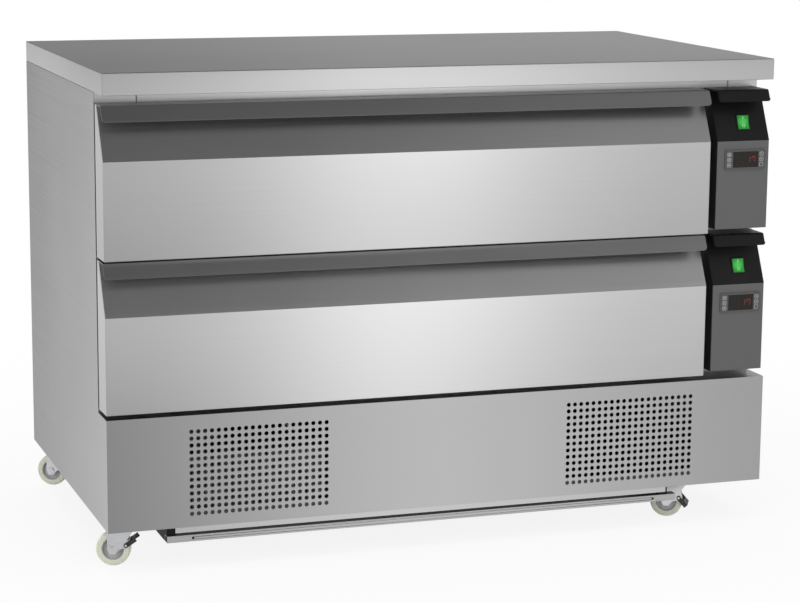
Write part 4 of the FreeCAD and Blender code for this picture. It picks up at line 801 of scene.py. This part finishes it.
for name, wide, corners in (
    ("module_shells", True, (outer_edge_of_module, MODULE_EDGE, 4)),
    ("switch_frames", False, None),
):
    worked_copy(
        name,
        "module_housings",
        black_plastic,
        "cabinet",
        "black_plastic",
        0.0006,
        keep=lambda lo, hi: (hi[0] - lo[0] > WIDE) == wide,
        corners=corners,
    )
worked_copy("fascia_plates", "control_fascias", fascia_grey, "cabinet", "fascia_grey", 0.0008)

# Rocker switches: each is a clear green moulded cap over a lamp, printed with a bar and a
# ring, that tips in a black frame let into its module.
LAMP_GLOW, LAMP_MIDDLE, LAMP_RIM = 0.75, 1.05, 0.12
LAMP_REACH = 0.014
TINT_GAIN, TINT_BASE = 1.6, 0.05


def lamp_lens(name, tone, centre, reach, strength):
    """A lit cap: the glow falls off from its middle by a smooth step of the distance."""
    made = moulded(name, tone, 0.22, 700, 0.2, 0.00001, Specular_IOR_Level=0.2)
    tree = made.node_tree
    shader = tree.nodes["Principled BSDF"]
    spot = node(tree, "ShaderNodeTexCoord")
    offset = node(
        tree,
        "ShaderNodeVectorMath",
        ((0, spot.outputs["Object"]), (1, centre)),
        operation="DISTANCE",
    )
    limits = (0, reach, LAMP_MIDDLE, LAMP_RIM)
    glow = ranged(tree, offset.outputs["Value"], limits, interpolation_type="SMOOTHSTEP")
    tint = [min(1, c * TINT_GAIN + TINT_BASE) for c in tone]
    tree.links.new(scaled(tree, tint, glow), shader.inputs["Emission Color"])
    shader.inputs["Emission Strength"].default_value = strength
    return made


def surface_of(source):
    """A search tree over a CAD node, to set marks on its surface."""
    mesh = frame["nodes"][source].data
    return BVHTree.FromPolygons(
        [v.co for v in mesh.vertices], [tuple(p.vertices) for p in mesh.polygons]
    )


def joined(parts):
    """Several (points, faces) pairs as one."""
    points, faces, start = [], [], 0
    for some_points, some_faces in parts:
        points.append(np.asarray(some_points, float))
        faces.extend([[int(corner) + start for corner in face] for face in some_faces])
        start += len(some_points)
    return np.concatenate(points), faces


MARK_PROUD, KEY_PROUD, DIGIT_PROUD = 0.00012, 0.00006, 0.00008
CAST_FROM, CAST_REACH = 0.02, 0.05


def stroke_marks(name, strokes, middle, up, width, finish, body, tree=None, proud=MARK_PROUD):
    """Flat bars between pairs of points, set on a surface. Points are (X, up) from the
    middle. Each bar is its own thin block with its ends cut square."""
    across, up = Vector((1, 0, 0)), Vector(up).normalized()
    out = across.cross(up)
    parts = []
    for (a0, u0), (a1, u1) in strokes:
        start, end = Vector((a0, u0)), Vector((a1, u1))
        way = (end - start).normalized()
        side = Vector((-way.y, way.x)) * width / 2
        spots = []
        for corner in (start - side, end - side, end + side, start + side):
            spot = middle + across * corner.x + up * corner.y
            if tree is not None:
                hit = tree.ray_cast(spot + out * CAST_FROM, -out, CAST_REACH)[0]
                spot = hit if hit is not None else spot
            spots.append(spot)
        points = [tuple(p + out * rise) for rise in (-proud, proud) for p in spots]
        faces = [(i, (i + 1) % 4, 4 + (i + 1) % 4, 4 + i) for i in range(4)]
        parts.append((points, [(3, 2, 1, 0), (4, 5, 6, 7)] + faces))
    outward(new_piece(name, *joined(parts), finish, body))


def ring_strokes(radius, steps=14, start=0.0, sweep=2 * math.pi):
    """Short bars along a circle or part of one."""
    angles = start + np.linspace(0, sweep, steps + 1)
    spots = [(radius * math.cos(t), radius * math.sin(t)) for t in angles]
    return list(zip(spots, spots[1:]))


mark_white = moulded("mark_white", (0.55, 0.56, 0.56), 0.6, 900, 0.1, 0.000005)
mark_pale_green = moulded(
    "mark_pale_green",
    (0.25, 0.62, 0.27),
    0.4,
    900,
    0.1,
    0.000005,
    Emission_Color=(0.4, 1, 0.4, 1),
    Emission_Strength=0.2,
)
MARK_RISE, BAR_HALF, RING_RADIUS = 0.0072, 0.0025, 0.0027
BAR_WIDTH, RING_WIDTH = 0.0012, 0.0009
lean_up = Vector((0, MODULE_SLOPE, 1)).normalized()
for level in LEVELS:
    low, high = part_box(f"{level}_rocker_switch")
    middle = (low + high) / 2
    lens = lamp_lens(f"{level}_lamp_green", (0.02, 0.24, 0.03), middle, LAMP_REACH, LAMP_GLOW)
    rocker_body = f"{level}_rocker"
    worked_copy(
        f"{level}_rocker_cap", f"{level}_rocker_switch", lens, rocker_body, "green_lens", 0.0009
    )
    tree = surface_of(f"{level}_rocker_switch")
    bar = [((0, MARK_RISE - BAR_HALF), (0, MARK_RISE + BAR_HALF))]
    ring = [
        ((a0, u0 - MARK_RISE), (a1, u1 - MARK_RISE))
        for (a0, u0), (a1, u1) in ring_strokes(RING_RADIUS)
    ]
    for label, strokes, width in (("bar", bar, BAR_WIDTH), ("ring", ring, RING_WIDTH)):
        stroke_marks(
            f"{level}_rocker_{label}",
            strokes,
            middle,
            lean_up,
            width,
            mark_pale_green,
            rocker_body,
            tree,
        )


# Thermostats: a moulded frame with rounded corners, a dark display window with two red
# digits, and five soft keys with pale printed outlines. The sixth field is blank.
thermostat_grey = moulded(
    "thermostat_grey", (0.075, 0.075, 0.076), 0.42, 1500, 0.2, 0.00001, Specular_IOR_Level=0.25
)
key_grey = moulded("key_grey", (0.075, 0.075, 0.075), 0.5, 1500, 0.2, 0.00001)
window_black = moulded(
    "window_black", (0.016, 0.015, 0.012), 0.25, 500, 0.1, 0.000002, Specular_IOR_Level=0.15
)
digit_red = moulded(
    "digit_red",
    (0.16, 0.01, 0.01),
    0.4,
    900,
    0.1,
    0.000002,
    Emission_Color=(0.85, 0.02, 0.015, 1),
    Emission_Strength=0.16,
)
low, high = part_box("thermostats")
frame_left, frame_right, frame_front = low.x, high.x, low.y
FRAME_CORNER = 0.0028


def corner_of_frame(a, b):
    """The four short edges at the corners of a thermostat's frame."""
    along_y = abs(a.x - b.x) < NEAR and abs(a.z - b.z) < NEAR and abs(a.y - b.y) > 0.001
    at_side = min(abs(a.x - frame_left), abs(a.x - frame_right)) < NEAR
    return along_y and at_side


worked_copy(
    "thermostat_frames",
    "thermostats",
    thermostat_grey,
    "cabinet",
    "thermostat_plastic",
    corners=(corner_of_frame, FRAME_CORNER, 5),
)
worked_copy(
    "window_panes", "display_windows", window_black, "cabinet", "display_window", 0.0002
)
window_low, window_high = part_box("display_windows")
SEGMENT, SEGMENT_GAP, END_GAP = 0.0052, 0.0003, 0.0004
DIGIT_SLANT, DIGIT_WIDTH = 0.0006, 0.0009
SEVEN_SHIFT, ONE_SHIFT, DIGITS_AT = 0.0034, -0.0068, 0.74
half_digit, reach = SEGMENT / 2 + SEGMENT_GAP, SEGMENT - END_GAP
seven = [
    ((-half_digit + DIGIT_SLANT, SEGMENT), (half_digit + DIGIT_SLANT, SEGMENT)),
    ((half_digit + DIGIT_SLANT, reach), (half_digit, SEGMENT_GAP)),
    ((half_digit, -SEGMENT_GAP), (half_digit - DIGIT_SLANT, -reach)),
    ((-half_digit + DIGIT_SLANT, reach), (-half_digit, SEGMENT_GAP)),
]
one = seven[1:3]
UPRIGHT = (0, 0, 1)
KEY_MARKS = {
    "set_key": [((-0.0018, u), (0.0018, u)) for u in (-0.0013, 0, 0.0013)],
    "standby_key": ring_strokes(0.0018, 12, math.radians(120), math.radians(300))
    + [((0, 0.0004), (0, 0.0024))],
    "defrost_key": [
        ((-0.002 * math.cos(t), -0.002 * math.sin(t)), (0.002 * math.cos(t), 0.002 * math.sin(t)))
        for t in (math.radians(angle) for angle in (30, 90, 150))
    ],
    "up_key": [((-0.0017, -0.0008), (0, 0.001)), ((0, 0.001), (0.0017, -0.0008))],
    "down_key": [((-0.0017, 0.0008), (0, -0.001)), ((0, -0.001), (0.0017, 0.0008))],
}
KEY_LINE, KEY_MARGIN, KEY_CORNER = 0.0005, 0.0007, 0.0009
PRINTED = (UPRIGHT, KEY_LINE, mark_white)


def key_outline(low, high, corner=KEY_CORNER):
    """A closed outline of bars inside a key's edge, with its corners cut."""
    half_x, half_z = ((high[i] - low[i]) / 2 - KEY_MARGIN for i in (0, 2))
    x, z = half_x - corner, half_z - corner
    spots = [(-x, -half_z), (x, -half_z), (half_x, -z), (half_x, z)]
    spots += [(x, half_z), (-x, half_z), (-half_x, z), (-half_x, -z)]
    return list(zip(spots, spots[1:] + spots[:1]))


for level in LEVELS:
    key_low, key_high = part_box(f"{level}_standby_key")
    digits = [
        ((a0 + shift, u0), (a1 + shift, u1))
        for digit, shift in ((seven, SEVEN_SHIFT), (one, ONE_SHIFT))
        for (a0, u0), (a1, u1) in digit
    ]
    digits_x = window_low.x + (window_high.x - window_low.x) * DIGITS_AT
    stroke_marks(
        f"{level}_display_digits",
        digits,
        Vector((digits_x, window_low.y, (key_low.z + key_high.z) / 2)),
        UPRIGHT,
        DIGIT_WIDTH,
        digit_red,
        "cabinet",
        proud=DIGIT_PROUD,
    )
    for key, marks in KEY_MARKS.items():
        low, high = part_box(f"{level}_{key}")
        key_body = f"{level}_{key}_body"
        worked_copy(
            f"{level}_{key}_cap", f"{level}_{key}", key_grey, key_body, "key_plastic", 0.0006
        )
        stroke_marks(
            f"{level}_{key}_marks",
            key_outline(low, high) + marks,
            Vector(((low.x + high.x) / 2, low.y, (low.z + high.z) / 2)),
            *PRINTED,
            key_body,
            proud=KEY_PROUD,
        )
    down_low, down_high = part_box(f"{level}_down_key")
    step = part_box(f"{level}_up_key")[0].z - down_low.z
    blank_z = (down_low.z + down_high.z) / 2 - step
    stroke_marks(
        f"{level}_blank_field",
        key_outline(down_low, down_high),
        Vector(((down_low.x + down_high.x) / 2, frame_front, blank_z)),
        *PRINTED,
        "cabinet",
        proud=KEY_PROUD,
    )


# Castors: cream nylon wheels on grey hubs, with a slightly crowned tread and a groove round
# each face, in zinc-plated forks. The top plates hold the ball races, and the front
# castors have black brake pedals.
def turned_body(profile, centre, axis, steps=32):
    """A closed profile of (radius, height) pairs carried once round an axis."""
    profile = np.array(profile, float)
    axis = Vector(axis).normalized()
    side = Vector((0, 0, 1)) if abs(axis.z) < 0.5 else Vector((1, 0, 0))
    other = axis.cross(side)
    angles = np.linspace(0, 2 * math.pi, steps, endpoint=False)
    ring = np.outer(np.cos(angles), side) + np.outer(np.sin(angles), other)
    points = (
        np.array(centre)
        + profile[:, None, :1] * ring[None]
        + profile[:, None, 1:] * np.array(axis)[None, None]
    )
    return points.reshape(-1, 3), grid_faces(len(profile), steps, True, True)


def both_sides(half):
    """A closed (radius, height) profile from its half on one side, in millimetres."""
    half = np.array(half, float) / 1000
    return np.concatenate([half, half[::-1] * (1, -1)])


WHEEL_STEPS = 64
TREAD_HALF = [
    (19.2, 9.8), (19.6, 10.6), (20.4, 10.95), (25.0, 11.0), (25.35, 10.55),
    (26.0, 10.5), (26.4, 10.95), (27.9, 10.8), (28.9, 10.1), (29.5, 8.9),
    (29.8, 7.0), (29.95, 4.0), (30.0, 1.2),
]
HUB_HALF = [
    (4.3, 11.7), (4.6, 12.0), (7.2, 12.0), (7.8, 11.6),
    (8.1, 10.6), (8.3, 6.4), (9.2, 5.6), (15.9, 5.5),
    (16.9, 6.0), (18.5, 10.2), (19.2, 10.6), (19.3, 9.6),
]
nylon = moulded("nylon", (0.72, 0.73, 0.6), 0.4, 420, 0.16, 0.00001, Specular_IOR_Level=0.4)
hub_grey = moulded("hub_grey", (0.44, 0.44, 0.44), 0.5, 700, 0.25, 0.00001)
bright_zinc = moulded("bright_zinc", (0.7, 0.71, 0.72), 0.36, 260, 0.16, 0.00001, Metallic=1.0)
pedal_black = moulded("pedal_black", (0.022, 0.022, 0.022), 0.48, 800, 0.3, 0.00002)
spins = {joint["name"]: joint for joint in frame["joints"]}
for place in ("front_left", "front_right", "rear_left", "rear_right"):
    spin = spins[f"{place}_wheel_spin"]
    held = (f"{place}_wheel", "nylon", (f"{place}_castor_wheel",))
    for label, half, finish in (("tyre", TREAD_HALF, nylon), ("hub", HUB_HALF, hub_grey)):
        turned = turned_body(both_sides(half), spin["pos_m"], spin["axis"], WHEEL_STEPS)
        outward(new_piece(f"{place}_wheel_{label}", *turned, finish, *held))
    plate, source = f"{place}_fork_plate", f"{place}_castor_fork"
    worked_copy(plate, source, bright_zinc, f"{place}_castor", "zinc_steel")
for place in ("front_left", "front_right"):
    lever, source = f"{place}_pedal_lever", f"{place}_brake_pedal"
    worked_copy(lever, source, pedal_black, f"{place}_pedal", "pedal_steel")
worked_copy("castor_tops", "castor_plates", bright_zinc, "cabinet", "zinc_steel", 0.0003)

# Underframe: a pale metal tube and strip between the front castors, and two black brackets
# that hold the tube under the base.
LONG = 0.5
TUBE_LIMIT = 0.016
rail_metal = brushed_steel("rail_metal", 0.31, ALONG_X, 0.42, 0.1)
strip_metal = brushed_steel("strip_metal", 0.37, ALONG_X, 0.42, 0.1)
bracket_black = moulded(
    "bracket_black", (0.008, 0.008, 0.008), 0.6, 300, 0.3, 0.00003, Specular_IOR_Level=0.1
)


def kind_of_part(low, high):
    """Which part of the underframe a solid is, by its length and height."""
    if high[0] - low[0] < LONG:
        return "brackets"
    return "tube" if high[2] - low[2] < TUBE_LIMIT else "strip"


for kind, finish, slot in (
    ("tube", rail_metal, "satin_aluminium"),
    ("strip", strip_metal, "satin_aluminium"),
    ("brackets", bracket_black, "black_paint"),
):
    worked_copy(
        f"underframe_{kind}",
        "underframe",
        finish,
        "cabinet",
        slot,
        keep=lambda lo, hi: kind_of_part(lo, hi) == kind,
    )


# Condensing unit: a finned condenser in a sheet casing behind the left holes, its fan in a
# shroud, the compressor, the drain tray that its warmth dries, and the cord's gland.
def plain_box(low, high):
    """The eight corners and six outward faces of a block."""
    x_pair, y_pair, z_pair = zip(low, high)
    points = [(x, y, z) for x in x_pair for y in y_pair for z in z_pair]
    faces = [(0, 1, 3, 2), (4, 6, 7, 5), (0, 4, 5, 1), (2, 3, 7, 6), (0, 2, 6, 4), (1, 5, 7, 3)]
    return points, faces


def plates(low, high, axis, pitch, thickness):
    """Equal thin plates across a block, at about the given pitch."""
    count = round((high[axis] - low[axis] - thickness) / pitch)
    made = []
    for at in np.linspace(low[axis], high[axis] - thickness, count + 1):
        first, last = list(low), list(high)
        first[axis], last[axis] = at, at + thickness
        made.append(plain_box(first, last))
    return made


def tube_rows(low, high, axis, rows, radius):
    """Straight tubes along one axis of a block, in rows evenly spread over its two others."""
    others = [i for i in range(3) if i != axis]
    way = Vector([float(i == axis) for i in range(3)])
    length = high[axis] - low[axis]
    bore = radius * BORE_SHARE
    wall = [(bore, 0), (radius, 0), (radius, length), (bore, length)]
    made = []
    for first in range(rows[0]):
        for second in range(rows[1]):
            start = list(low)
            for i, step, count in zip(others, (first, second), rows):
                start[i] = low[i] + (high[i] - low[i]) * (step + 0.5) / count
            made.append(turned_body(wall, start, way, TUBE_SIDES))
    return made


FIN, CASING = 0.0003, 0.0012
TUBE, BORE_SHARE, TUBE_SIDES = 0.0045, 0.8, 12
CONDENSER_PITCH, COIL_PITCH = 0.0028, 0.005
CONDENSER_ROWS, COIL_ROWS = (2, 4), (2, 5)
fin_metal = moulded("fin_metal", (0.62, 0.63, 0.64), 0.4, 150, 0.2, 0.00001, Metallic=1.0)
copper = moulded("copper", (0.72, 0.34, 0.2), 0.3, 220, 0.3, 0.00001, Metallic=1.0)
enamel = moulded(
    "black_enamel", (0.012, 0.012, 0.013), 0.32, 160, 0.3, 0.00003, Coat_Weight=0.4
)
tray_plastic = moulded("tray_plastic", (0.5, 0.51, 0.52), 0.45, 600, 0.15, 0.00001)


def fixed_part(name, solids, finish, slot, source):
    """Several solids as one piece that stays with the cabinet."""
    new_piece(name, *joined(solids), finish, "cabinet", slot, (source,))


def finned_coil(name, low, high, axis, pitch, rows, source):
    """Plates across a block with tubes through them. The end plates stay to be added."""
    low, high = np.array(low), np.array(high)
    room = np.full(3, CASING)
    room[axis] = CASING * 2
    fins = plates(low + room, high - room, axis, pitch, FIN)
    tubes = tube_rows(low + CASING / 2, high - CASING / 2, axis, rows, TUBE)
    fixed_part(f"{name}_fins", fins, fin_metal, "fin_aluminium", source)
    fixed_part(f"{name}_tubes", tubes, copper, "copper", source)


def end_plates(low, high, axis):
    """The two casing plates at a block's ends."""
    return plates(low, high, axis, high[axis] - low[axis] - CASING, CASING)


low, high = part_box("condenser")
finned_coil("condenser", low, high, 0, CONDENSER_PITCH, CONDENSER_ROWS, "condenser")
casing = end_plates(low, high, 0) + end_plates(low, high, 2)
fixed_part("condenser_casing", casing, galvanised, "galvanised_steel", "condenser")
worked_copy("shroud_and_motor", "condenser_shroud", black_plastic, "cabinet", "black_plastic")
worked_copy(
    "condenser_blades", "condenser_fan", black_plastic, "condenser_fan_body", "fan_plastic", 0.0003
)
worked_copy("compressor_pot", "compressor", enamel, "cabinet", "black_paint", 0.0008)
worked_copy("melt_tray", "drain_tray", tray_plastic, "cabinet", "tray_plastic", 0.0005)
worked_copy("gland_body", "cord_gland", pedal_black, "cabinet", "black_rubber")

# Evaporators and pipes: in each cavity's bay a finned coil on the far wall and a fan that
# blows over it, and copper pipes down to the condensing unit.
COIL_DEPTH, COIL_LENGTH, COIL_HEIGHT, COIL_GAP = 0.045, 0.28, 0.15, 0.008
level_step = module_tops[1] - module_tops[0]
low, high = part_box("evaporators")
for i, level in enumerate(LEVELS):
    bottom = low.z + i * level_step
    coil_low = (high.x - COIL_GAP - COIL_DEPTH, high.y - COIL_LENGTH, bottom)
    coil_high = (high.x, high.y, bottom + COIL_HEIGHT)
    fins_high = (high.x - COIL_GAP, high.y, bottom + COIL_HEIGHT)
    finned_coil(f"{level}_coil", coil_low, fins_high, 1, COIL_PITCH, COIL_ROWS, "evaporators")
    ends = end_plates(coil_low, coil_high, 1)
    fixed_part(f"{level}_coil_ends", ends, galvanised, "galvanised_steel", "evaporators")
    fan = f"{level}_evaporator_fan"
    worked_copy(f"{level}_bay_blades", fan, black_plastic, f"{fan}_body", "fan_plastic", 0.0003)
worked_copy(
    "bay_motors",
    "evaporators",
    enamel,
    "cabinet",
    "black_paint",
    0.0008,
    keep=lambda lo, hi: hi[2] - lo[2] < COIL_HEIGHT / 2,
)
worked_copy("pipe_runs", "refrigerant_pipes", copper, "cabinet", "copper", 0.0003)

low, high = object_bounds()
